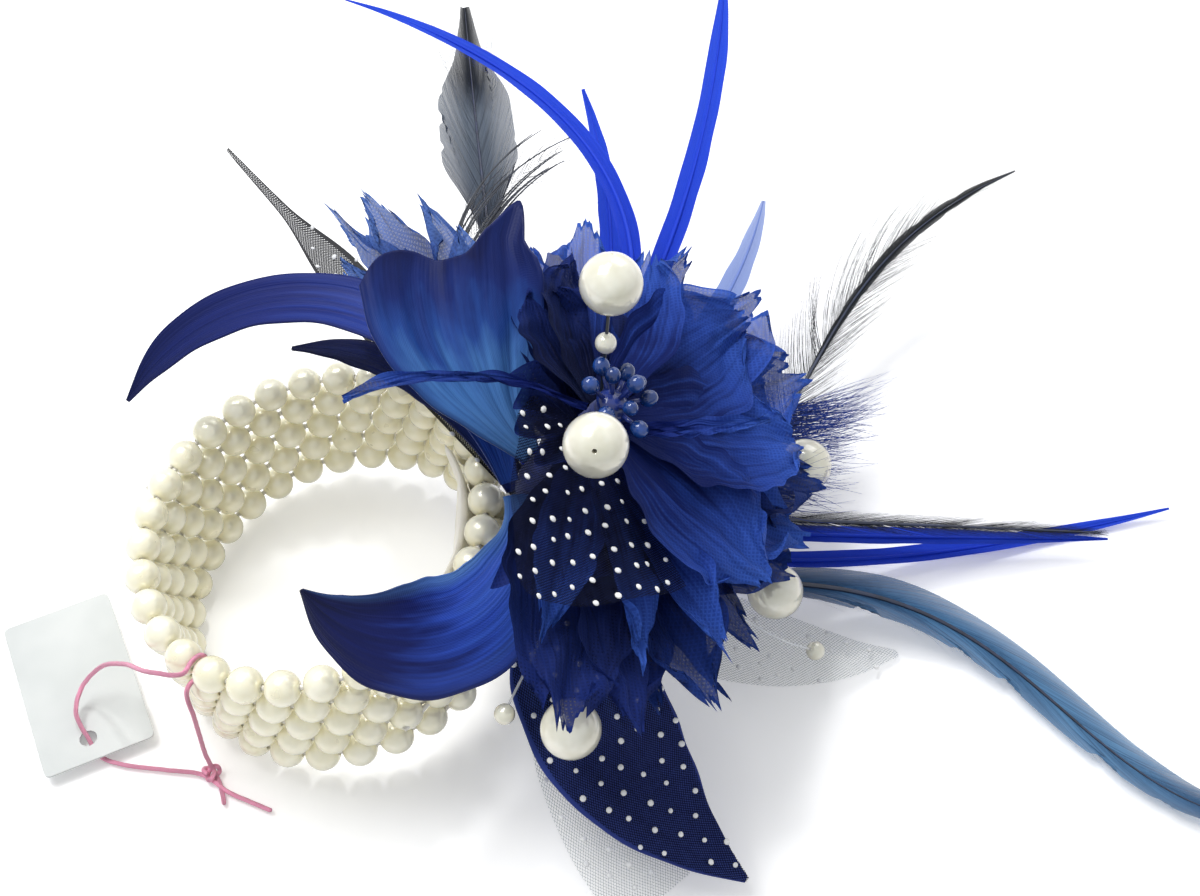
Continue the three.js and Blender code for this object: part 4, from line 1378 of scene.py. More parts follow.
@dataclass
class HangTag:
    """The blank card on its pink string, looped over a bead of the near side."""

    finishes: Finishes
    diameter: float = 0.8
    plies: int = 3
    lay: float = 2.6
    squeeze: float = 1.06
    knot_radius: float = 1.02
    knot_middle: tuple[float, float, float] = (-19.2, -30.9, 1.05)
    route: tuple[tuple[float, float, float], ...] = (
        (-16.4, -36.4, 0.5), (-17.5, -33, 0.5), (-18.8, -30.6, 0.9), (-19.6, -29.6, 4),
        (-19.3, -29.5, 12), (-18.9, -29.5, 20), (-19.2487, -28.8193, 21.7088),
        (-18.9687, -27.8367, 24.4325), (-17.1607, -25.2163, 24.7597), (-16.4288, -24.0289, 25.4787),
        (-16.3418, -23.6195, 26.8071), (-16.8297, -24.0289, 28.0982), (-17.7431, -25.2163, 28.5654),
        (-19.1804, -27.3454, 28.0926), (-24, -27, 28), (-31.5, -20.5, 19), (-38.2, -16.6, 10.5),
        (-42.2, -17.8, 5.4), (-42.6, -21.6, 4.2), (-40.4, -25.2, 1.9), (-38.2, -27.8, 0.55),
        (-34.4, -29.2, 0.5), (-27, -30.2, 0.5), (-20.5, -31.2, 0.6), (-16, -34.2, 0.5),
        (-12, -36, 0.5), (-8.5, -37.5, 0.5),
    )

    def thread(self, name: str, line: Array, *nodes: str, sides: int = 12) -> Piece:
        """Twists a plied thread along a line.

        Args:
            name: The piece's name.
            line: Points along its middle.
            *nodes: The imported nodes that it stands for.
            sides: Points round each section.

        Returns:
            The thread.
        """
        lengths = running_lengths(line)
        radii = np.full(len(line), self.diameter / 2 / self.squeeze)
        radii[[0, -1]] *= 0.6

        def lobes(angles: Array, index: int) -> Array:
            """Rounds each ply at its place in the twist."""
            turn = lengths[index] / self.lay * FULL_TURN
            return 0.94 + 0.12 * np.abs(np.cos((angles * self.plies + turn) / 2))

        piece = wound_piece(name, line, radii, sides, lobes, self.finishes["pink_string"], (1, 10))
        return claim(piece, "string", *nodes, body=Body.NEAR.value)

    def string(self) -> Piece:
        """Lays the string along its whole route."""
        path = Line(self.route).at(np.linspace(0, 1, 560))
        string = self.thread("tag_string_thread", path, "tag_string")
        self.knot()
        return string

    def knot(self) -> Piece:
        """Ties the small overhand knot that closes the loop."""
        turns = np.linspace(0, FULL_TURN * 0.97, 90)
        x = self.knot_radius * (np.sin(turns) + 2 * np.sin(2 * turns)) / 2.2
        y = self.knot_radius * (np.cos(turns) - 2 * np.cos(2 * turns)) / 2.2
        z = -self.knot_radius * np.sin(3 * turns) * 0.42
        return self.thread("tag_string_knot", np.stack([x, y, z], -1) + self.knot_middle, sides=10)

    def card(self) -> Piece:
        """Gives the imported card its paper."""
        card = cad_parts["hang_tag"]
        for slot in card.material_slots:
            slot.material = self.finishes["tag_card"]
        return card

    def build(self) -> list[Piece]:
        """Makes the string, its knot and the card."""
        return [self.string(), self.card()]


@dataclass(frozen=True)
class Arc:
    """One part of the bracelet: its beads and its elastic's reach into the next part."""

    body: Body
    beads: int
    middle: float
    reach: tuple[tuple[bool, tuple[float, float, float]], ...] = ()


NEAR_SLIDE = (-0.633313, -0.767804, -0.09691)
FAR_SLIDE = (-0.633313, 0.767804, -0.09691)


@dataclass
class Bracelet:
    """Five rows of pearls on elastic, with the ribbon lining and the round felt."""

    finishes: Finishes
    elastic: float = 0.9
    stretch: float = 11.75
    dimple: float = 0.02
    lining_size: tuple[float, float, float] = (21.0, 0.18, 1.1)
    lining_sink: float = 0.9
    felt_radius: float = 11.5
    felt_fray: float = 0.008
    arcs: tuple[Arc, ...] = (
        Arc(Body.FLOWER, 7, 0.0, ((False, NEAR_SLIDE), (True, FAR_SLIDE))),
        Arc(Body.NEAR, 8, 0.75, ((False, FAR_SLIDE),)),
        Arc(Body.WRIST, 7, 0.5),
        Arc(Body.FAR, 8, 0.25, ((True, NEAR_SLIDE),)),
    )

    def pearl(self) -> Solid:
        """Models one pearl with its drilled hole, along the Z axis."""
        radius = RING.bead / 2
        dimple = radius * self.dimple
        pearl = ball(20, 14, radius)
        with editing(pearl):
            for end in (1, -1):
                inset_faces(pearl, lambda middle, normal: middle.z * end > radius * 0.97, [dimple])
                bpy.ops.transform.translate(value=(0, 0, -end * dimple))
                extrude(-end * radius * 0.5)
        return taken_apart(pearl)

    def turn_of(self, arc: Arc, row: int, bead: int) -> float:
        """How far round the ring a bead sits."""
        nest = 0.25 if row % 2 == 0 else -0.25
        return arc.middle + (bead - (arc.beads - 1) / 2 + nest) / RING.beads

    def strand(self, arc: Arc, row: int, pearl: Solid, chance: np.random.Generator) -> Piece:
        """Threads one row of one part.

        Args:
            arc: The part.
            row: The row, from the top.
            pearl: The pearl's points and faces.
            chance: Small unevenness between pearls.

        Returns:
            The strand.
        """
        pile = Pile()
        height = RING.height_of(row)
        turns = [self.turn_of(arc, row, bead) for bead in range(arc.beads)]
        for turn in turns:
            onward = unit(RING.at(turn + NUDGE, height) - RING.at(turn - NUDGE, height))
            onward = unit(onward + chance.normal(0, 0.035, 3))
            spin = np.array(Matrix.Rotation(chance.uniform(0, FULL_TURN), 3, "Z")).T
            turned = pearl[0] @ spin * (1 + chance.uniform(-0.012, 0.004))
            pile.add(turned @ aimed(onward).T + RING.at(turn, height), pearl[1])
        runs = [np.array([RING.at(t, height) for t in np.linspace(turns[0], turns[-1], 4 * arc.beads)])]
        for last, slide in arc.reach:
            end, step = (turns[-1], NUDGE) if last else (turns[0], -NUDGE)
            centre = RING.at(end, height)
            away = unit(RING.at(end + step, height) - centre)
            start = centre + away * RING.bead * 0.48
            runs.append(np.array([centre + away * 1.5, start, start + np.array(slide) * self.stretch]))
        for run in runs:
            pile.add(*tube(run, np.full(len(run), self.elastic / 2), 8), kind=1)
        place = f"{arc.body.value}_{row + 1}"
        finishes = [self.finishes["ivory_strand_pearl"], self.finishes["elastic_thread"]]
        return claim(pile.piece(f"pearls_{place}", finishes), "pearl", f"beads_{place}", body=arc.body.value)

    def lining(self) -> Piece:
        """Lines the inside behind the flower with brushed ribbon."""
        height, share, thickness = self.lining_size
        outside = -(RING.bead / 2 + SEAT_GAP)
        flat_face = RING.across + outside - thickness - self.lining_sink
        turns, heights = share * (np.linspace(0, 1, 41) - 0.5), np.linspace(-height / 2, height / 2, 25)
        turn, level = np.meshgrid(turns, heights)
        edge = np.clip((1 - np.abs(level) / (height / 2)) * 9, 0, 1)
        edge = edge * np.clip((1 - np.abs(turn) / (share / 2)) * 14, 0, 1)
        edge = np.sqrt(1 - (1 - edge) ** 2) * 0.85 + 0.15
        outer, inner = RING.flat(turn, level, outside), RING.flat(turn, level, outside - thickness)
        inner[..., 0] = np.minimum(inner[..., 0], flat_face)
        middle = (outer + inner) / 2
        pucker = 0.12 * ripple(3, turn * 40, level / 9, 1.0)
        outer, inner = (middle + (side - middle) * edge[..., None] for side in (outer, inner))
        inner[..., 0] = inner[..., 0] - np.maximum(pucker, 0) * edge * 0.4
        rows, columns = turn.shape
        count = rows * columns
        rim = [r * columns for r in range(rows)] + [(rows - 1) * columns + c for c in range(1, columns)]
        rim += [r * columns + columns - 1 for r in range(rows - 2, -1, -1)] + list(range(columns - 2, 0, -1))
        faces = [*grid_faces(rows, columns)[:, ::-1], *grid_faces(rows, columns, count)]
        faces += [[a, b, b + count, a + count] for a, b in zip(rim, rim[1:] + rim[:1])]
        points = RING.leaned(np.vstack([outer.reshape(-1, 3), inner.reshape(-1, 3)]))
        lining = mesh_piece("ribbon_lining", points, faces, [self.finishes["cream_ribbon"]])
        with editing(lining):
            bpy.ops.mesh.select_all(action="SELECT")
            bpy.ops.mesh.normals_make_consistent(inside=False)
        claim(lining, "lining", "wrist_lining")
        return lining

    def felt(self) -> Piece:
        """Cuts the round felt that carries the stem outside the beads."""
        deselect()
        size = {"radius": self.felt_radius - 0.1, "depth": FELT_THICKNESS}
        bpy.ops.mesh.primitive_cylinder_add(vertices=72, end_fill_type="NGON", **size)
        felt = bpy.context.object
        felt.name = felt.data.name = "felt_round"
        with editing(felt):
            for end in (1, -1):
                inset_faces(felt, lambda middle, normal: normal.z * end > 0.9, (0.35, 2.2, 2.8, 2.8))
        soft = felt.modifiers.new("edge", "BEVEL")
        soft.width, soft.segments, soft.limit_method, soft.angle_limit = 0.4, 3, "ANGLE", math.radians(50)
        apply_modifiers(felt)
        centre = FELT_NORMAL * (FELT_FACE + FELT_THICKNESS / 2) + [0, 0, RING.height]
        points = np.array([v.co for v in felt.data.vertices])
        fray = 1 + self.felt_fray * ripple(5, points[:, 0] / 6, points[:, 1] / 6, 2.0)
        points[:, :2] *= np.minimum(fray, 1 + self.felt_fray)[:, None]
        world = placed(points @ aimed(FELT_NORMAL).T + centre)
        felt.data.vertices.foreach_set("co", world.astype(np.float32).ravel())
        felt.data.update()
        felt.data.materials.append(self.finishes["white_felt"])
        smooth(felt, 40)
        claim(felt, "felt", "felt_base")
        return felt

    def build(self) -> list[Piece]:
        """Makes the strands, the lining and the felt."""
        pearl = self.pearl()
        chance = np.random.default_rng(17)
        made = [self.strand(arc, row, pearl, chance) for arc in self.arcs for row in range(RING.rows)]
        return [*made, self.lining(), self.felt()]


@dataclass
class Stem:
    """The taped stem and the beaded stamens at its end."""

    finishes: Finishes
    tape_width: float = 3.1
    ridge: float = 0.16
    stamen_length: float = 6.1
    stamen_bead: float = 1.35
    spread: float = 66.0
    azimuths: tuple[float, ...] = (20, 75, 125, 180, 235, 300)
    button: tuple[float, float, float] = (2.8, 2.8, 2.3)

    def taped(self) -> Piece:
        """Winds the tape up the stem."""
        foot = STEM_FOOT + FELT_NORMAL * np.linspace(0, SEAT_GAP, 2)[:, None]
        line = np.vstack([foot, STEM.at(np.linspace(0.03, 1, 170))])
        lengths = running_lengths(line)

        def lobes(angles: Array, index: int) -> Array:
            """Steps each wrap over the one before."""
            wound = np.mod(angles / FULL_TURN - lengths[index] / self.tape_width, 1)
            return 1 + (self.ridge / STEM_RADIUS) * (wound**3 - 0.4)

        radii, tape = np.full(len(line), STEM_RADIUS), self.finishes["floral_tape"]
        stem = wound_piece("taped_stem", line, radii, 26, lobes, tape, (0.15, CLOTH_UNIT))
        return claim(stem, "stem_tape", "stem_wrap")

    def stamens(self) -> Piece:
        """Sets glossy beads on short stalks round a button."""
        base = CENTRE - AXIS * 2.2
        shape, faces = taken_apart(ball(20, 12))
        dome = shape * self.button
        dome[:, 2] = np.maximum(dome[:, 2], -0.1)
        pile = Pile()
        pile.add(dome @ aimed(AXIS).T + base, faces, 1)
        tips = [(azimuth, self.spread, 1.0) for azimuth in self.azimuths]
        for turn, spread, reach in (*tips, (0, 0, 1.0), (48, 38, 0.86), (150, 36, 0.9), (272, 37, 0.86)):
            lean, turn = math.radians(spread), math.radians(turn)
            way = AXIS * math.cos(lean) + (OUT * math.cos(turn) + UP * math.sin(turn)) * math.sin(lean)
            tip = base + way * self.stamen_length * reach
            pile.add(*tube(np.array([base + way * 1.2, tip]), np.array([0.42, 0.34]), 8), kind=1)
            bead = shape * np.array([1, 1, 1.12]) * self.stamen_bead * min(reach, 1)
            pile.add(bead @ aimed(way).T + tip, faces)
        stamens = pile.piece("bead_stamens", [self.finishes["blue_bead"], self.finishes["blue_stalk"]])
        return claim(stamens, "stamen", "stamen_cluster")

    def build(self) -> list[Piece]:
        """Makes the stem and the stamens."""
        return [self.taped(), self.stamens()]


@dataclass(frozen=True)
class Pressed:
    """How one satin petal is pressed: its creases, and the shares of its length that its end reaches."""

    name: str
    blade: Blade
    slot: str
    folds: float
    depth: float
    ends: tuple[float, ...] = ()


@dataclass
class SatinPetals:
    """Five pressed satin petals round the stem."""

    finishes: Finishes
    thickness: float = 0.35
    columns: int = 44
    rows_for_each: float = 1.5
    leaf: Blade = Blade(
        "satin_lower_petal", (0.26, -80, 0.7), -84, -26, 66.03, 11.5,
        (0.16, 0.5, 0.92, 1, 0.82, 0.45, 0.04), 62, 0, roll=10, cup=0.12,
    )
    arch: Blade = Blade(
        "satin_arch_petal", (0.5, 190, 0.9), 112, 31, 87, 4.8,
        (0.3, 0.8, 1, 1, 0.95, 0.75, 0.06), 110, 80, roll=-8, cup=0.25,
    )
    fan: Blade = Blade(
        "satin_fan_petal", (0.62, 178, 0.5), 145, 38, 38.98, 13.4,
        (0.14, 0.42, 0.78, 1, 1.04, 0.9), -70, 14, roll=6, cup=0.26, waves=2, wave=1.17,
    )
    curl: Blade = Blade(
        "satin_curl_petal", (0.5, -130, 1), -76, -17, 53.5, 8.5,
        (0.26, 0.45, 0.76, 0.97, 1, 0.86, 0.52, 0.03), -151, -59, roll=-20, roll_turn=-20, cup=-0.3,
    )
    tail: Blade = Blade(
        "satin_tail_petal", (0.4, 150, 0.5), 119, 18, 50.03, 3.4, (0.4, 0.8, 1, 0.8, 0.1), 54, 35, cup=0.2
    )
    fan_ends: tuple[float, ...] = (0.74, 0.85, 0.88, 0.86, 0.88, 1.02, 1.17, 0.9)

    @staticmethod
    def creases(seed: int, depth: float, folds: float, extra: Detail | None) -> Detail:
        """Pressed lengthwise creases that fan out of the root.

        Args:
            seed: Which unevenness.
            depth: Their depth in millimetres.
            folds: How many there are across.
            extra: More lift and reach across, in millimetres.

        Returns:
            The detail of the sheet.
        """

        def detail(side: Array, along: Array) -> Pair:
            """Lifts the creases and lets the edge waver."""
            fade = np.sin(np.clip(along, 0, 1) * math.pi) ** 0.5
            drift = 0.35 * ripple(seed, side, along, 0.7)
            lift = depth * np.sin(folds * math.pi * (side + drift * 0.4)) * fade
            edge = np.abs(side) ** 6
            lift = lift + edge * 0.35 * ripple(seed + 1, side * 0, along * 3, 1.3) * fade
            wide = edge * np.sign(side) * 0.16 * ripple(seed + 2, side * 0.5, along * 5, 1.5) * fade
            more, wider = extra(side, along) if extra else (0, 0)
            return lift + more, wide + wider

        return detail

    @staticmethod
    def frill(side: Array, along: Array) -> Pair:
        """Ruffles the fan's top edge."""
        return np.clip((along - 0.55) / 0.45, 0, 1) ** 2 * 0.9 * np.sin(4 * side + 1.1), 0 * side

    @staticmethod
    def rolled(side: Array, along: Array) -> Pair:
        """Rolls the curl's outer rim back.

        Args:
            side: Places from -1 to 1 across it.
            along: Places from 0 to 1 along it.

        Returns:
            The lift and the reach across, in millimetres.
        """
        rim, half = np.clip((side - 0.45) / 0.55, 0, 1) ** 2, np.clip(side, 0, 1)
        fade = np.sin(np.clip(along * 1.1, 0, 1) * math.pi) ** 0.7
        root = half * np.sin(np.clip(along / 0.5, 0, 1) * math.pi) ** 2
        full = half * np.sin(np.clip((along - 0.3) / 0.7, 0, 1) * math.pi) ** 1.5
        return rim * 1.6 * fade, root * 1.8 + full * 2.1 - rim * 0.9 * fade

    def petal(self, plan: Pressed, extra: Detail | None = None) -> Piece:
        """Makes one petal.

        Args:
            plan: How it is pressed.
            extra: More lift and reach across, in millimetres.

        Returns:
            The petal.
        """
        drape = blade_drape(plan.blade, self.creases(len(plan.name) * 7, plan.depth, plan.folds, extra))
        if plan.ends:
            whole = drape.points

            def trimmed(side: Array, along: Array) -> Array:
                """Ends the petal sooner or later from side to side."""
                return whole(side, along * (1 - along**3 * (1 - share_at(plan.ends, (side + 1) / 2))))

            drape.points = trimmed
        counts, satin = (self.columns, int(plan.blade.length * self.rows_for_each)), self.finishes[plan.name]
        hold = (Hold.FOLDED, plan.slot, [plan.blade.node], self.thickness)
        piece, cut = drape.weave(plan.name, counts, satin, *hold)
        return piece

    def build(self) -> list[Piece]:
        """Makes the five petals."""
        return [
            self.petal(Pressed("satin_arch", self.arch, "satin", 3, 0.07)),
            self.petal(Pressed("satin_fan", self.fan, "satin", 6, 0.16, self.fan_ends), self.frill),
            self.petal(Pressed("satin_curl", self.curl, "satin", 3, 0.05), self.rolled),
            self.petal(Pressed("satin_tail", self.tail, "satin_deep", 3, 0.06)),
            self.petal(Pressed("satin_leaf", self.leaf, "satin_deep", 4, 0.1)),
        ]


@dataclass(frozen=True)
class Petal:
    """One organza petal: where its tip points and how it lies, in degrees and millimetres."""

    angle: float
    reach: float
    half: float
    rise: float = 0.0
    fold: float = 0.0
    twist: float = 0.0
    bend: float = 0.0
    # True where the petal takes the organza with painted shade.
    dark: bool = False


@dataclass(frozen=True)
class Layer:
    """One gathered layer of organza: how deep it sits, its petals and its ruffled middle."""

    node: str
    depth: float
    petals: tuple[Petal, ...]
    first: float
    last: float
    ruffle: float
    shaded: bool = False


def petals_of(*rows: tuple) -> tuple[Petal, ...]:
    """Petals from rows of their angle, reach, half width, rise, fold, twist, bend and whether they take the
    organza with painted shade.
    """
    return tuple(Petal(*row) for row in rows)


@dataclass
class Organza:
    """The gathered organza layers and the single organza petals."""

    finishes: Finishes
    outline: tuple[float, ...] = (0.2, 0.44, 0.72, 0.92, 1, 0.98, 0.9, 0.72, 0.36)
    layers: tuple[Layer, ...] = (
        Layer(
            "organza_layer_1",
            0.23,
            petals_of(
                (-34, 36, 13, 0.5, 0, 8),
                (12, 41, 12.5, 3, 0, -12),
                (45, 43, 12, 4, 0, 10),
                (73, 39, 8.5, 2.5, 18, -30),
                # The last two petals of this layer take the organza with painted shade.
                (97, 31, 9, 1, 0, 20, 0, True),
                (116, 25, 8, 0.5, 0, -10, 0, True),
            ),
            -50,
            118,
            22,
        ),
        Layer(
            "organza_layer_2",
            0.417,
            petals_of(
                (-105, 38, 5.4, -2, 22, 18, 1.5),
                (-82, 39, 5.2, -1, 26, -26, 2.5),
                (-58, 40, 5.2, 1.5, 34, 28, 1),
                (-7, 44, 13, 1, 0, -8),
                (30, 51, 12.5, 6, 0, 12),
                (47, 51, 11.5, 8, 0, -14),
                (63, 53, 7, 3, 20, 30),
                (86, 45, 9, 1, 0, -16),
                (103, 41, 8, -2, 0, 14),
            ),
            -112,
            126,
            25,
        ),
        Layer(
            "organza_layer_3",
            0.583,
            petals_of(
                # The first two petals take the organza with painted shade.
                (-96, 51, 10.5, 2, 0, 10, 0, True),
                (-80, 48, 9.5, 1, 0, -22, 0, True),
                (-57, 46, 8.5, 0.5, 20, 25, -2),
                (-38, 42, 9.5, 0, 0, -20),
                (-14, 45, 12, 1, 0, 14),
                (9, 50, 12, 5, 0, -10),
                (37, 53, 12, 5, 0, 14),
            ),
            -116,
            140,
            27,
            # This layer takes the organza copy with painted shade.
            True,
        ),
        Layer(
            "organza_back_fan",
            0.77,
            petals_of((-66, 43, 8.5, -1, 0, 20), (-46, 44, 7, -1.5, 10, -22)),
            -84,
            -50,
            27,
            # This layer takes the organza copy with painted shade.
            True,
        ),
    )
    # A small ruffle by the stem, which adds painted shade round the flower's middle.
    collar: Layer = Layer("collar", 0.3, (), -240, -100, 12)
    tufts: tuple[Petal, ...] = petals_of(
        (-60, 57.5, 4.2, 1.5, 14, 40, 1),
        (-36, 57.5, 4.4, -0.5, 14, -30, -4.5),
        (-12, 48, 4, -1.5, 8, 30, -8.5),
        (12, 50, 5, 0.5, 14, -28, 8.5),
        (36, 41, 5, 1, 8, 24, 10.5),
        (60, 44, 7, -2, 0, 10, 2),
    )
    rear: Blade = Blade(
        "organza_rear_fan", (0.53, 128, 0.7), 116, 17, 56, 9, (0.15, 0.4, 0.75, 1, 0.95, 0.6), 12, 16, steps=8
    )
    left: Blade = Blade(
        "organza_slip_left", (0.96, 184, 0.5), 173, 29, 37, 1.15,
        (0.5, 0.6, 0.7, 1, 0.5), 22, 50, cup=0.8, steps=8,
    )
    right: Blade = Blade(
        "organza_slip_right", (0.96, -40, 0.5), -18, 14, 23, 1.5,
        (0.5, 0.8, 1, 0.9, 0.35), 32, 6, cup=0.8, steps=8,
    )

    def shaped(self, petal: Petal, seed: int) -> tuple[Array, ...]:
        """Cups, pleats and crumples one petal.

        Args:
            petal: How it lies.
            seed: Which unevenness.

        Returns:
            Reach along, place across and lift in millimetres, and the flat place across.
        """
        side, along = np.meshgrid(np.linspace(-1, 1, 41), np.linspace(0, 1, 49))
        chance = np.random.default_rng(seed)
        phase = chance.uniform(0, FULL_TURN, 4)
        wide = petal.half * share_at(self.outline, along)
        flat = wide * side * (1 + 0.1 * ripple(seed, np.sign(side), along * 5, 1.3) * np.abs(side))
        teeth = 0.022 * np.abs(2 * np.mod(side * 8 + phase[0], 1) - 1)
        teeth = teeth + 0.045 * ripple(seed + 3, side * 3, side * 0, 1.4)
        reach = petal.reach * along * (1 - (np.abs(side) ** 1.5 * 0.16 + teeth) * along**3)
        loose = along**1.3
        lift = 0.16 * wide * side**2 + 0.5 * np.sin(math.pi * 2.4 * side + phase[1]) * loose * petal.half / 10
        lift = lift + np.abs(side) ** 3 * 1.5 * loose * np.sin(along * 10 + phase[2] + np.sign(side))
        lift = lift + 1.05 * loose * ripple(seed + 1, side * petal.half / 9, along * 3, 0.9)
        lift = lift + 0.42 * loose * ripple(seed + 2, side * petal.half / 3, along * 8, 1.0)
        crimp = math.radians(petal.fold)
        across, lift = flat * math.cos(crimp), lift + np.abs(flat) * math.sin(crimp)
        turn = np.radians(petal.twist) * along**1.5
        sin, cos = np.sin(turn), np.cos(turn)
        across, lift = across * cos - lift * sin, across * sin + lift * cos
        across = across + petal.bend * along**1.3
        return reach, across, lift + petal.rise * along**2, flat

    def gather(
        self, name: str, petals: Sequence[Petal], place: Callable, node: str, seed: int, finish: str
    ) -> Piece:
        """Makes one sheet of petals.

        Args:
            name: The piece's name.
            petals: Its petals.
            place: Takes a petal, reach, place across and lift, and gives the points.
            node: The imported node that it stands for.
            seed: Which unevenness.
            finish: Its finish.

        Returns:
            The sheet.
        """
        pile, cloth, area = Pile(), [], 0.0
        for index, petal in enumerate(petals):
            reach, across, lift, flat = self.shaped(petal, seed + 7 * index)
            rows, columns = reach.shape
            sin, cos = math.sin(math.radians(petal.angle)), math.cos(math.radians(petal.angle))
            cut = np.stack([reach * sin + flat * cos, reach * cos - flat * sin], -1).reshape(-1, 2)
            shares = np.stack(np.meshgrid(np.linspace(0, 1, columns), np.linspace(0, 1, rows)), -1)
            maps = {"cloth": cut / CLOTH_UNIT, "shares": shares.reshape(-1, 2)}
            cloth.append(cut)
            points = place(petal, reach, across, lift).reshape(-1, 3)
            # Petals marked dark take the second finish, the organza with painted shade.
            pile.add(points, grid_faces(rows, columns), int(petal.dark), **maps)
            area += float(np.trapz(flat[:, -1] - flat[:, 0], reach.mean(axis=1)))
        piece = pile.piece(name, [self.finishes[finish], self.finishes["organza_shade"]])
        claim(piece, "organza", node)
        return piece

    def ruffle(self, name: str, layer: Layer) -> Piece:
        """Gathers the full middle of a layer, darker with painted shade.

        Args:
            name: The piece's name.
            layer: The layer.

        Returns:
            The ruffle.
        """
        seed, turns = int(layer.depth * 100), (layer.last - layer.first) / 26

        def reach(around: Array) -> Array:
            """How far out the uneven edge goes."""
            return layer.ruffle * (1 + 0.14 * ripple(seed, around * turns, around * 0, 0.8))

        def lie(around: Array, along: Array, angle: Array) -> Pair:
            """Folds and crumples the cloth, which leaves room for the wires on the right."""
            folds = 1.9 + 2.1 * along**1.3 * np.sin(around * turns * FULL_TURN + 1.2 * along + seed)
            crumple = 0.9 * along * ripple(seed + 1, around * turns, along * 2, 1.0)
            room = 1 - 0.85 * np.exp(-(((angle + 12) / 13) ** 2))
            more = 3 * along * ripple(seed + 2, around * 6, along, 1.0)
            return more, FLOWER_DEPTH * layer.depth + (folds + crumple) * room

        drape = fan_drape(reach, layer.last, layer.first, lie, (layer.first + layer.last) / 2)
        # The ruffle takes the organza with the deepest painted shade.
        hold = (self.finishes["organza_shade"], Hold.GATHERED, "organza")
        piece, cut = drape.weave(name, (int(turns * 22), 30), *hold, spare=1.25)
        return piece

    def gathered(self) -> list[Piece]:
        """Makes the layers, each with its ruffle."""
        made = []
        for number, layer in enumerate(self.layers, 1):

            def place(petal: Petal, reach: Array, across: Array, lift: Array) -> Array:
                """Points a petal out from the stem."""
                radius = STEM_CLEAR + reach * (1 - STEM_CLEAR / petal.reach)
                level = flower_point(radius, petal.angle, FLOWER_DEPTH * layer.depth - lift)
                turn = math.radians(petal.angle)
                return level + across[..., None] * (math.cos(turn) * UP - math.sin(turn) * OUT)

            # Shaded layers take the organza copy with painted shade.
            plan = (layer.node, number * 100, "organza_navy" if layer.shaded else "organza_royal")
            made.append(self.gather(f"organza_petals_{number}", layer.petals, place, *plan))
            made.append(self.ruffle(f"organza_ruffle_{number}", layer))
        return [*made, self.ruffle("organza_collar", self.collar)]

    def singles(self) -> list[Piece]:
        """Makes the tufts behind the satin and the two narrow folded petals."""

        def place(petal: Petal, reach: Array, across: Array, lift: Array) -> Array:
            """Lays a tuft along the rear line."""
            return self.rear.at(reach / self.rear.length, across, lift)

        def folded(side: Array, along: Array) -> Pair:
            """Crumples a folded slip along its length."""
            return 0.3 * np.sin(9 * side + 14 * along), 0.4 * ripple(37, side, along * 5, 1.2)

        made = [self.gather("organza_tufts", self.tufts, place, self.rear.node, 900, "organza_worn")]
        hold = (self.finishes["organza_folded"], Hold.FOLDED, "organza")
        for name, blade in (("organza_fold_left", self.left), ("organza_fold_right", self.right)):
            piece, cut = blade_drape(blade, folded).weave(name, (16, 60), *hold, [blade.node])
            made.append(piece)
        return made

    def build(self) -> list[Piece]:
        """Makes every organza piece."""
        return self.gathered() + self.singles()


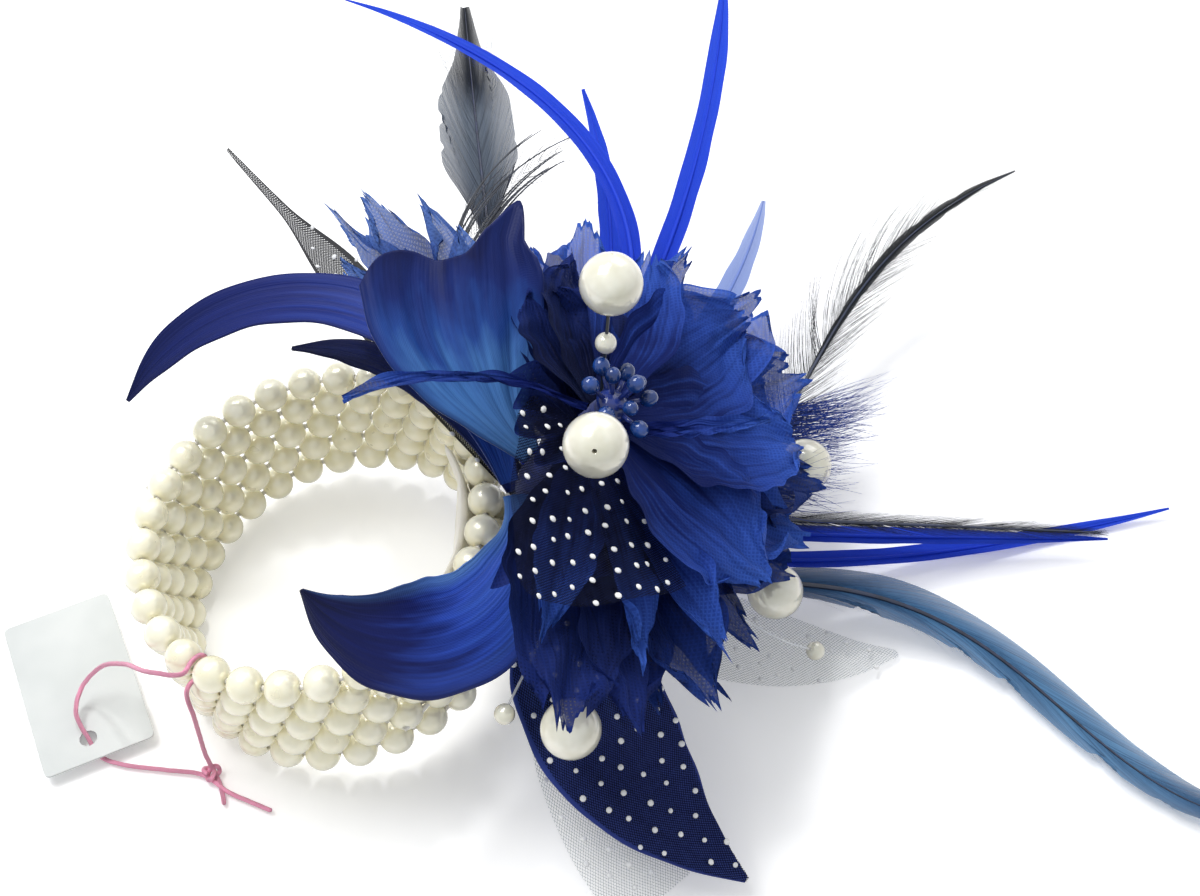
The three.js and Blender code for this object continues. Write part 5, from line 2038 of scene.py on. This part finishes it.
@dataclass
class Tulle:
    """The dotted net: a fan over the face, a veil over the leaf, and three loose ends."""

    finishes: Finishes
    dot: float = 0.5
    dot_pitch: float = 4.0
    fan_from: float = -62.0
    fan_to: float = -176.0
    fan_radius: float = 36.0
    fan_reaches: tuple[float, ...] = (0.8, 0.82, 0.86, 0.92, 0.99, 1.08, 0.82, 0.63, 0.52, 0.46, 0.4, 0.34)
    corner: Blade = Blade(
        "tulle_corner_left", (0.36, 140, 0.5), 126, 5, 88, 4.4,
        (0.3, 0.7, 1, 0.85, 0.22, 0.05), 5, -4, cup=0.3, steps=8,
    )
    lower: Blade = Blade(
        "tulle_end_lower", (0.17, -90, 0.7), -89, -30, 60, 8,
        (0.14, 0.3, 0.7, 0.95, 1, 0.9), 40, -16, cup=0.05, steps=8,
    )
    right: Blade = Blade(
        "tulle_end_right", (0.1, -25, 0.5), -25, -39, 65, 9,
        (0.15, 0.6, 1, 0.9, 0.6, 0.1), 40, -37, cup=0.1, steps=8,
    )
    disc_sides: int = 8

    def fan(self) -> Drape:
        """The sheet of the front fan."""

        def lie(around: Array, along: Array, angle: Array) -> Pair:
            """Lays the pleated net over the petals."""
            pleat = 0.9 * along * np.sin(around * FULL_TURN * 3.5 + 0.5)
            pleat = pleat + 0.25 * along * ripple(41, around * 3, along * 2)
            return 0, FLOWER_DEPTH * 0.3 - self.fan_radius * 0.05 * along + pleat

        def reach(around: Array) -> Array:
            """How far out the net goes."""
            return self.fan_radius * share_at(self.fan_reaches, around)

        return fan_drape(reach, self.fan_from, self.fan_to, lie)

    def disc(self) -> Solid:
        """One flocked dot of radius 1, with its rim, its low top and its underside."""
        count = self.disc_sides
        ring = np.arange(count) / count * FULL_TURN
        rim = np.stack([np.cos(ring), np.sin(ring), ring * 0], -1)
        top = np.stack([0.72 * np.cos(ring), 0.72 * np.sin(ring), ring * 0 + 0.3], -1)
        after = [(i + 1) % count for i in range(count)]
        faces = [[i, j, count + j, count + i] for i, j in enumerate(after)]
        faces += [[count + i, count + j, 2 * count] for i, j in enumerate(after)]
        faces += [[j, i, 2 * count + 1] for i, j in enumerate(after)]
        return np.vstack([rim, top, [[0, 0, 0.36], [0, 0, -0.05]]]), faces

    def flocked(self, name: str, drape: Drape, seed: int, tone: float) -> Piece:
        """Sets white flocked dots on a net, in staggered rows.

        Args:
            name: The piece's name.
            drape: The net.
            seed: Which unevenness.
            tone: Share of the dots that are there.

        Returns:
            The dots.
        """
        side, along = np.meshgrid(np.linspace(*drape.sides, 121), np.linspace(0.02, 0.985, 161))
        flat, spots = drape.flat(side, along), drape.points(side, along)
        normals = unit(np.cross(np.gradient(spots, axis=1), np.gradient(spots, axis=0)))
        chance = np.random.default_rng(seed)
        low, high = flat.reshape(-1, 2).min(0), flat.reshape(-1, 2).max(0)
        disc, faces = self.disc()
        pile, step = Pile(), self.dot_pitch
        for row, y in enumerate(np.arange(low[1], high[1], step * 0.86), 1):
            for x in np.arange(low[0] + (row % 2) * step / 2, high[0], step):
                gap = np.linalg.norm(flat - (np.array([x, y]) + chance.normal(0, step * 0.07, 2)), axis=-1)
                spot = np.unravel_index(np.argmin(gap), gap.shape)
                if gap[spot] > 0.45 or chance.uniform() > tone:
                    continue
                normal = normals[spot]
                tangent = unit(np.cross(normal, [0.3, 0.9, 0.2]))
                basis = np.stack([tangent, np.cross(normal, tangent), normal])
                size = self.dot * chance.uniform(0.82, 1.12)
                pile.add((disc * size) @ basis + spots[spot] + normal * 0.06, faces)
        return claim(pile.piece(name, [self.finishes["white_flock"]]), None)

    def build(self) -> list[Piece]:
        """Makes the nets and their dots."""

        def soft(side: Array, along: Array) -> Pair:
            """Lets a loose end wave."""
            return 0.7 * along * ripple(43, side, along * 2, 1.1), 0.0 * side

        def veil(side: Array, along: Array) -> Pair:
            """Lifts the veil clear of the leaf."""
            return 0.75 + 0.25 * ripple(47, side, along * 2), 0.0 * side

        leaf = SatinPetals.leaf
        over = blade_drape(replace(leaf, half=leaf.half * 0.94), veil)
        ends = [(blade_drape(blade, soft), [blade.node]) for blade in (self.corner, self.lower, self.right)]
        plans = (
            ("tulle_fan", self.fan(), ["tulle_front_fan"], "navy_net", "dotted_tulle", (40, 30), 1.0),
            ("tulle_veil", over, [], "navy_net", "dotted_tulle", (24, 60), 0.95),
            ("tulle_corner", *ends[0], "corner_net", "dotted_tulle", (14, 70), 0.9),
            ("tulle_lower", *ends[1], "grey_net", "grey_tulle", (20, 60), 0.9),
            ("tulle_right", *ends[2], "grey_net", "grey_tulle", (20, 60), 0.7),
        )
        made = []
        for seed, (name, drape, nodes, finish, slot, counts, tone) in enumerate(plans):
            piece, cut = drape.weave(name, counts, self.finishes[finish], Hold.LAID, slot, nodes)
            dots = self.flocked(f"{name}_dots", drape, seed, tone)
            made += [piece, dots]
        return made


@dataclass(frozen=True)
class Barbs:
    """How a feather's barbs grow from its shaft."""

    pitch: float = 0.35
    width: float = 0.34
    lean: float = 32.0
    sweep: float = 0.25
    first: float = 0.05
    last: float = 0.99
    stray: float = 0.04
    uneven: float = 0.05
    splits: int = 0
    wander: float = 0.0
    scale: float = 1.0
    sides: tuple[int, ...] = (-1, 1)


@dataclass
class Feathers:
    """Dyed quills, hackles and long tail feathers, rooted round the stem."""

    finishes: Finishes
    trimmed: tuple[float, ...] = (0.35, 0.5, 0.8, 1, 1, 0.9, 0.65, 0.15)
    plume: tuple[float, ...] = (0.1, 0.1, 0.35, 0.9, 1, 0.75, 0.4, 0.08)
    trailing_widths: tuple[float, ...] = (0.15, 0.3, 0.7, 1, 0.95, 0.9, 0.8, 0.5)
    hackle_widths: tuple[float, ...] = (0.1, 0.1, 0.12, 0.3, 0.95, 0.92, 0.38, 0.12)
    tip_widths: tuple[float, ...] = (0, 0, 0.06, 0.16, 0.42, 0.8, 1, 0.06)
    down_widths: tuple[float, ...] = (0.2, 0.6, 1, 0.9, 0.6, 0.4, 0.1, 0.1)
    tall_widths: tuple[float, ...] = (0.35, 0.5, 0.8, 1, 1, 0.95, 0.85, 0.3)

    def quill(self, blade: Blade, thick: float) -> Solid:
        """The tapered shaft of a feather."""
        along = np.linspace(0, 1, 60)
        radii = thick * (1 - along) ** 0.8 + 0.07
        return tube(blade.at(along, 0.0, radii * 0.3), radii, 8)

    def grow(self, blade: Blade, barbs: Barbs, seed: int, stations: int = 7) -> Mapped:
        """Grows the barbs on both sides of the shaft.

        Args:
            blade: The feather's line and widths.
            barbs: How they grow.
            seed: Which unevenness.
            stations: Points along each barb.

        Returns:
            Points, faces and each point's place across and along.
        """
        chance = np.random.default_rng(seed)
        points, maps = [], []
        for side in barbs.sides:
            roots = np.arange(barbs.first, barbs.last, barbs.pitch / blade.length)
            count = len(roots)
            roots = roots + chance.normal(0, 0.15 * barbs.pitch / blade.length, count)
            wide = blade.half_at(roots) * barbs.scale * (1 + chance.normal(0, barbs.uneven, count))
            lean = np.radians(barbs.lean) * (1 - 0.35 * roots)
            if barbs.splits:
                group = np.searchsorted(np.sort(chance.uniform(0.1, 0.95, barbs.splits)), roots)
                lean = lean * (1 + chance.normal(0, 0.16, barbs.splits + 1)[group])
            roots, wide, q = roots[:, None], wide[:, None], np.linspace(0, 1, stations)[None, :]
            across = wide * q
            onward = across / np.tan(lean[:, None]) * (1 + barbs.sweep * q)
            drift = chance.uniform(0, FULL_TURN, (count, 1))
            across = across + barbs.wander * q * np.sin(q * 4 + drift)
            onward = onward + barbs.wander * q * np.cos(q * 5 + drift * 1.3)
            lift = 0.3 * blade.cup * across + barbs.stray * wide * q**1.5 * chance.normal(0, 1, (count, 1))
            body = barbs.width * (1 - 0.75 * q**1.5) / 2
            edges = [roots + (onward + hand * body) / blade.length for hand in (-1, 1)]
            edges = [np.minimum(edge, 1.0 + 1.2 / blade.length) for edge in edges]
            edges = [blade.at(edge, side * across, lift) for edge in edges]
            points.append(np.stack(edges, 2).reshape(-1, 3))
            shares = np.stack([0.5 + side * q / 2 + 0 * roots, roots + 0 * q], -1)
            maps.append(np.repeat(shares.reshape(-1, 2), 2, axis=0))
        points = np.concatenate(points)
        strips = np.arange(len(points) // (stations * 2))[:, None] * stations * 2
        first = strips + (np.arange(stations - 1) * 2)[None, :]
        faces = np.stack([first, first + 1, first + 3, first + 2], -1).reshape(-1, 4)
        return points, faces, np.concatenate(maps)

    def assemble(
        self,
        name: str,
        parts: Sequence[tuple],
        finish: str,
        slot: str,
        node: str = "",
        shaft: str = "feather_quill",
    ) -> Piece:
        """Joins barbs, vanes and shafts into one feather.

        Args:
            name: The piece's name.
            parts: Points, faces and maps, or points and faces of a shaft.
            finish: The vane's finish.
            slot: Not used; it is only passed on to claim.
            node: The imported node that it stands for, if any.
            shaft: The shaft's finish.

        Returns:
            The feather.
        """
        pile = Pile()
        for points, faces, *maps in parts:
            shares = maps[0] if maps else np.full((len(points), 2), 0.5)
            pile.add(points, faces, 0 if maps else 1, shares=shares)
        piece = pile.piece(name, [self.finishes[finish], self.finishes[shaft]])
        return claim(piece, slot, *([node] if node else []))

    def vane(self, blade: Blade, seed: int) -> Mapped:
        """A trimmed quill's narrow smooth vane, a little folded along its shaft.

        Args:
            blade: Its line and widths.
            seed: Which unevenness.

        Returns:
            Points, faces and each point's place across and along.
        """
        side, along = np.meshgrid(np.linspace(-1, 1, 13), np.linspace(0, 1, 131))
        half = blade.half_at(along)
        lift = 0.28 * half * np.abs(side) ** 1.5 + 0.12 * ripple(seed, side, along * 3, 1.3)
        wide = half * side * (1 + 0.05 * ripple(seed + 1, np.sign(side), along * 8, 1.5))
        return self.mapped(blade.at(along, wide, lift), side, along)

    @staticmethod
    def mapped(points: Array, side: Array, along: Array) -> Mapped:
        """A grid of points with its faces and their places across and along."""
        maps = np.stack([(side + 1) / 2, along], -1)
        return points.reshape(-1, 3), grid_faces(*side.shape), maps.reshape(-1, 2)

    def web(self, blade: Blade, seed: int, first: float = 0.12) -> Mapped:
        """A plume's closed vane, split here and there along its barbs.

        Args:
            blade: The feather's line and widths.
            seed: Which unevenness.
            first: Where it starts along the shaft.

        Returns:
            Points, faces and each point's place across and along.
        """
        side, along = np.meshgrid(np.linspace(-1, 1, 25), np.linspace(first, 1, 161))
        half, off = blade.half_at(along), np.abs(side)
        lean = 0.2 * off * blade.half / 6
        place = np.minimum(along + lean * (1 - along) * 0.8, 1.0)
        cut = np.clip(ripple(seed, np.sign(side) * 3, (along - lean) * 16, 1.0) - 0.45, 0, 1)
        lift = 0.22 * half * off**1.6 + 0.25 * ripple(seed + 1, side, along * 6, 1.0) * off
        return self.mapped(blade.at(place, half * side * (1 - 0.4 * cut * off), lift), side, along)

    def biots(self) -> list[Piece]:
        """Makes the trimmed quills."""
        trimmed = self.trimmed
        blades = (
            Shaft("biot_bent", (0.5, 112, 0.5), 43, 9, 138, 1.9, trimmed, 107, 16, bow=23),
            Shaft("biot_short", (0.43, 86, 0.5), 64, -15, 92, 2.2, trimmed, 45, -36),
            Shaft("biot_tall", (0.38, 60, 0.5), 63.3, -3, 126, 2.2, self.tall_widths, 23, -10),
            Shaft("biot_pale", (0.33, 34, 0.5), 48, -6, 87, 2.5, trimmed, 31, 1),
            Shaft("biot_low_far", (0.18, 0, 0.5), 16, -28, 103, 1.8, trimmed, -17, -29),
            Shaft("biot_low_near", (0.14, -12, 0.5), 7.5, -32, 118, 1.8, trimmed, 4, -41, bow=3),
        )
        made = []
        fringe = Barbs(0.9, 0.16, 14, first=0.3, last=0.97, stray=0.1, uneven=0.12, scale=1.12)
        for seed, blade in enumerate(blades):
            fringed = self.grow(blade, fringe, seed + 60, 5)
            parts = [self.vane(blade, seed * 5), fringed, self.quill(blade, 0.5)]
            finish, slot = ("pale_biot", "pale_biot") if blade.node == "biot_pale" else ("royal_biot", "biot")
            name = blade.node.replace("biot", "quill")
            made.append(self.assemble(name, parts, finish, slot, blade.node, finish))
        return made

    def plumes(self) -> list[Piece]:
        """Makes the hackle, the curled and low tail feathers, the trailing one and the stripped fibres."""
        hackle = Shaft("hackle_dark", (0.34, 115, 0.5), 99, 0, 111, 7.4, self.hackle_widths, -3, -10, cup=0.2)
        curled = Shaft("coque_curled", (0.3, 20, 0.5), 8, -29, 130, 3.4, self.plume, -6, -57, bow=58, cup=0.2)
        slim = replace(curled, half=1.4, widths=self.tip_widths)
        low = Shaft("coque_low", (0.24, 12, 0.5), 14, -23, 103, 2.2, self.trimmed, -13, -17, cup=0.2)
        trailing = Shaft(
            "feather_trailing", (0.24, -35, 0.5), -15, -33.4, 129, 4.2,
            self.trailing_widths, -7, -43, sway=28, cup=0.3,
        )
        fringe = Barbs(0.4, 0.16, 20, 0.15, 0.3, 0.97, 0.05, 0.1, 18, scale=1.06)
        loose = Barbs(1.1, 0.12, 32, 0.3, 0.3, 0.55, 0.2, 0.25, wander=0.5, scale=2.6)
        airy = Barbs(0.26, 0.17, 36, 0.35, 0.34, 0.84, 0.1, 0.16, 16, 0.3, 2.8, (-1,))
        short = Barbs(0.24, 0.17, 34, 0.3, 0.34, 0.78, 0.1, 0.16, 10, 0.3, 1.9, (1,))
        tight = Barbs(0.3, 0.2, 15, first=0.5, last=0.985, stray=0.06, uneven=0.2, splits=9, scale=1.3)
        snug = Barbs(0.3, 0.34, 18, first=0.2, last=0.98, uneven=0.08, splits=8)
        broad = Barbs(0.42, 0.16, 15, 0.1, 0.14, 0.98, 0.03, 0.07, 14, scale=1.05)
        wisps = Barbs(2.2, 0.12, 20, first=0.1, last=0.9, stray=0.1, uneven=0.25, wander=0.4, scale=1.35)
        dark, coque = "dark_feather", "dark_coque"
        wispy = [(trailing, broad, 11), (trailing, wisps, 12)]
        webs = ([self.web(hackle, 3, 0.2)], [self.web(slim, 5, 0.3)], [], [self.web(trailing, 11)])
        plans = (
            ("hackle_feather", [(hackle, fringe, 3), (hackle, loose, 4)], "dark_hackle", dark, 0.5),
            ("curled_feather", [(curled, airy, 6), (curled, short, 8), (slim, tight, 7)], coque, dark, 0.4),
            ("low_feather", [(low, snug, 9)], coque, dark, 0.5),
            ("trailing_feather", wispy, "blue_black_feather", "trailing_feather", 0.6),
        )
        made = []
        for web, (name, grown, finish, slot, thick) in zip(webs, plans):
            parts = [*web, *(self.grow(*each) for each in grown), self.quill(grown[0][0], thick)]
            made.append(self.assemble(name, parts, finish, slot, grown[0][0].node))
        return [*made, self.fibres(), self.tuft(curled)]

    def fibres(self) -> Piece:
        """Fans stripped black fibres along their line."""
        blade = Shaft("stripped_fibres", (0.47, 125, 0.5), 127, 12, 80, 1.6, self.trimmed, -95, 17)
        chance = np.random.default_rng(21)
        parts = []
        along = np.linspace(0, 1, 40)
        for index in range(14):
            across = (index % 7 - 3) / 3 * 4.4 * along**1.6 + 0.9 * np.sin(along * 5 + index)
            lift = chance.uniform(-1, 1.6) * along**1.5
            line = blade.at(along * chance.uniform(0.78, 1.0), across, lift)
            parts.append(tube(line, 0.3 * (1 - along) ** 0.7 + 0.07, 6))
        hairs = Barbs(0.9, 0.26, 30, first=0.5, last=0.95, stray=0.25, uneven=0.3, wander=0.3, scale=2.6)
        parts.append(self.grow(blade, hairs, 22, 6))
        return self.assemble("stripped_feather", parts, "dark_coque", "dark_feather", blade.node, "dark_wire")

    def tuft(self, curled: Blade) -> Piece:
        """Grows the soft down at the curled feather's root.

        Args:
            curled: The curled feather's line and widths.

        Returns:
            The down.
        """
        down = replace(curled, half=13.0, widths=self.down_widths, cup=0.0)
        near = Barbs(0.13, 0.22, 60, 0.45, 0.24, 0.46, 0.24, 0.2, 9, 0.9, sides=(1,))
        far = Barbs(0.2, 0.2, 44, 0.5, 0.3, 0.42, 0.2, 0.25, 6, 0.7, 0.6, (-1,))
        parts = [self.grow(down, barbs, seed, 9) for barbs, seed in ((near, 25), (near, 26), (far, 27))]
        return self.assemble("curled_feather_down", parts, "navy_fluff", "dark_feather")

    def build(self) -> list[Piece]:
        """Makes every feather."""
        return self.biots() + self.plumes()


@dataclass(frozen=True)
class Spray:
    """One pearl on its wire: where it leaves the stem and through which points it runs."""

    node: str
    angle: float
    share: float
    radius: float
    route: tuple[tuple[float, float, float], ...]
    seed_at: float = 0.0
    clear: bool = False


@dataclass
class Sprays:
    """Pearls and seed pearls that sway on wires and clear filaments."""

    finishes: Finishes
    wire: float = 0.35
    seed: float = 1.65
    sprays: tuple[Spray, ...] = (
        Spray("pearl_spray_top", 95, 0.96, 4.7, ((-0.187, 0.219, -0.241),), 0.5),
        Spray("pearl_spray_centre", -110, 0.96, 4.7, ((-0.168, -0.294, -0.068),)),
        Spray("pearl_spray_lower", -85, 0.36, 4.7, ((0.17, -0.423, 0.571), (0.255, -0.778, 0.74))),
        Spray("pearl_spray_right", -10, 0.6, 4.7, ((0.541, -0.101, 0.417), (1.006, -0.174, 0.463))),
        Spray("pearl_spray_back", 12, 0.6, 4.7, ((0.55, 0.139, 0.438), (1.161, 0.379, 0.355))),
        Spray(
            "seed_spray_left", -98, 0.42, 1.65, ((0.124, -0.417, 0.657), (0.071, -0.715, 0.853)), clear=True
        ),
        Spray(
            "seed_spray_right", -26, 0.58, 1.65,
            ((0.511, -0.229, 0.465), (1.044, -0.333, 0.517), (1.251, -0.309, 0.552)), clear=True,
        ),
    )

    def pearl(self, segments: int, rings: int, hole: float) -> Solid:
        """Models one pearl of radius 1 with a drilled hole at its outer end.

        Args:
            segments: Faces round it.
            rings: Faces from end to end.
            hole: Radius of the hole.

        Returns:
            Points and faces.
        """
        pearl = ball(segments, rings)
        level, rim = math.cos(math.pi / rings), math.sin(math.pi / rings)
        with editing(pearl):
            insets = (max(rim - hole, 0.005), hole * 0.12)
            inset_faces(pearl, lambda middle, normal: middle.z > level - 0.001, insets)
            extrude(-0.5)
        return taken_apart(pearl)

    def spray(self, plan: Spray, pearl: Solid, seed: Solid) -> Piece:
        """Makes one spray.

        Args:
            plan: Where it runs.
            pearl: A large pearl's points and faces.
            seed: A seed pearl's points and faces.

        Returns:
            The spray.
        """
        root = stem_root(plan.share, plan.angle, self.wire)
        places = [CENTRE + ORGANZA_RADIUS * (o * OUT + u * UP - d * AXIS) for o, u, d in plan.route]
        line = Line([root, *places])
        until = 1 - plan.radius * 0.8 / line.length
        width = 0.2 if plan.clear else self.wire * 0.8
        pile = Pile()
        pile.add(*tube(line.at(np.linspace(0, until, 60)), np.full(60, width), 10), kind=1)
        balls = [(places[-1], line.tangent(until), plan.radius, pearl if plan.radius > 2 else seed)]
        if plan.seed_at:
            middle = line.at(until * plan.seed_at + self.seed / line.length)
            balls.append((middle, line.tangent(plan.seed_at), self.seed, seed))
        for centre, onward, radius, (points, faces) in balls:
            pile.add(points * radius @ aimed(onward).T + centre, faces)
        wire = self.finishes["clear_filament" if plan.clear else "dark_wire"]
        piece = pile.piece(plan.node.replace("spray", "sprig"), [self.finishes["white_spray_pearl"], wire])
        return claim(piece, "pearl", plan.node, body=plan.node)

    def build(self) -> list[Piece]:
        """Makes the seven sprays."""
        pearl, seed = self.pearl(40, 26, 0.085), self.pearl(20, 12, 0.16)
        return [self.spray(plan, pearl, seed) for plan in self.sprays]


def main() -> None:
    """Builds the studio and the corsage, piece by piece."""
    logging.basicConfig(level=logging.INFO, format="%(name)s: %(message)s")
    Studio().build()
    finishes = {finish.name: finish.build() for finish in FINISHES}
    for part in (HangTag, Bracelet, Stem, SatinPetals, Organza, Tulle, Feathers, Sprays):
        for piece in part(finishes).build():
            log.info("%s, %d faces", piece.name, len(piece.data.polygons))
    deselect()


if __name__ == "__main__":
    main()
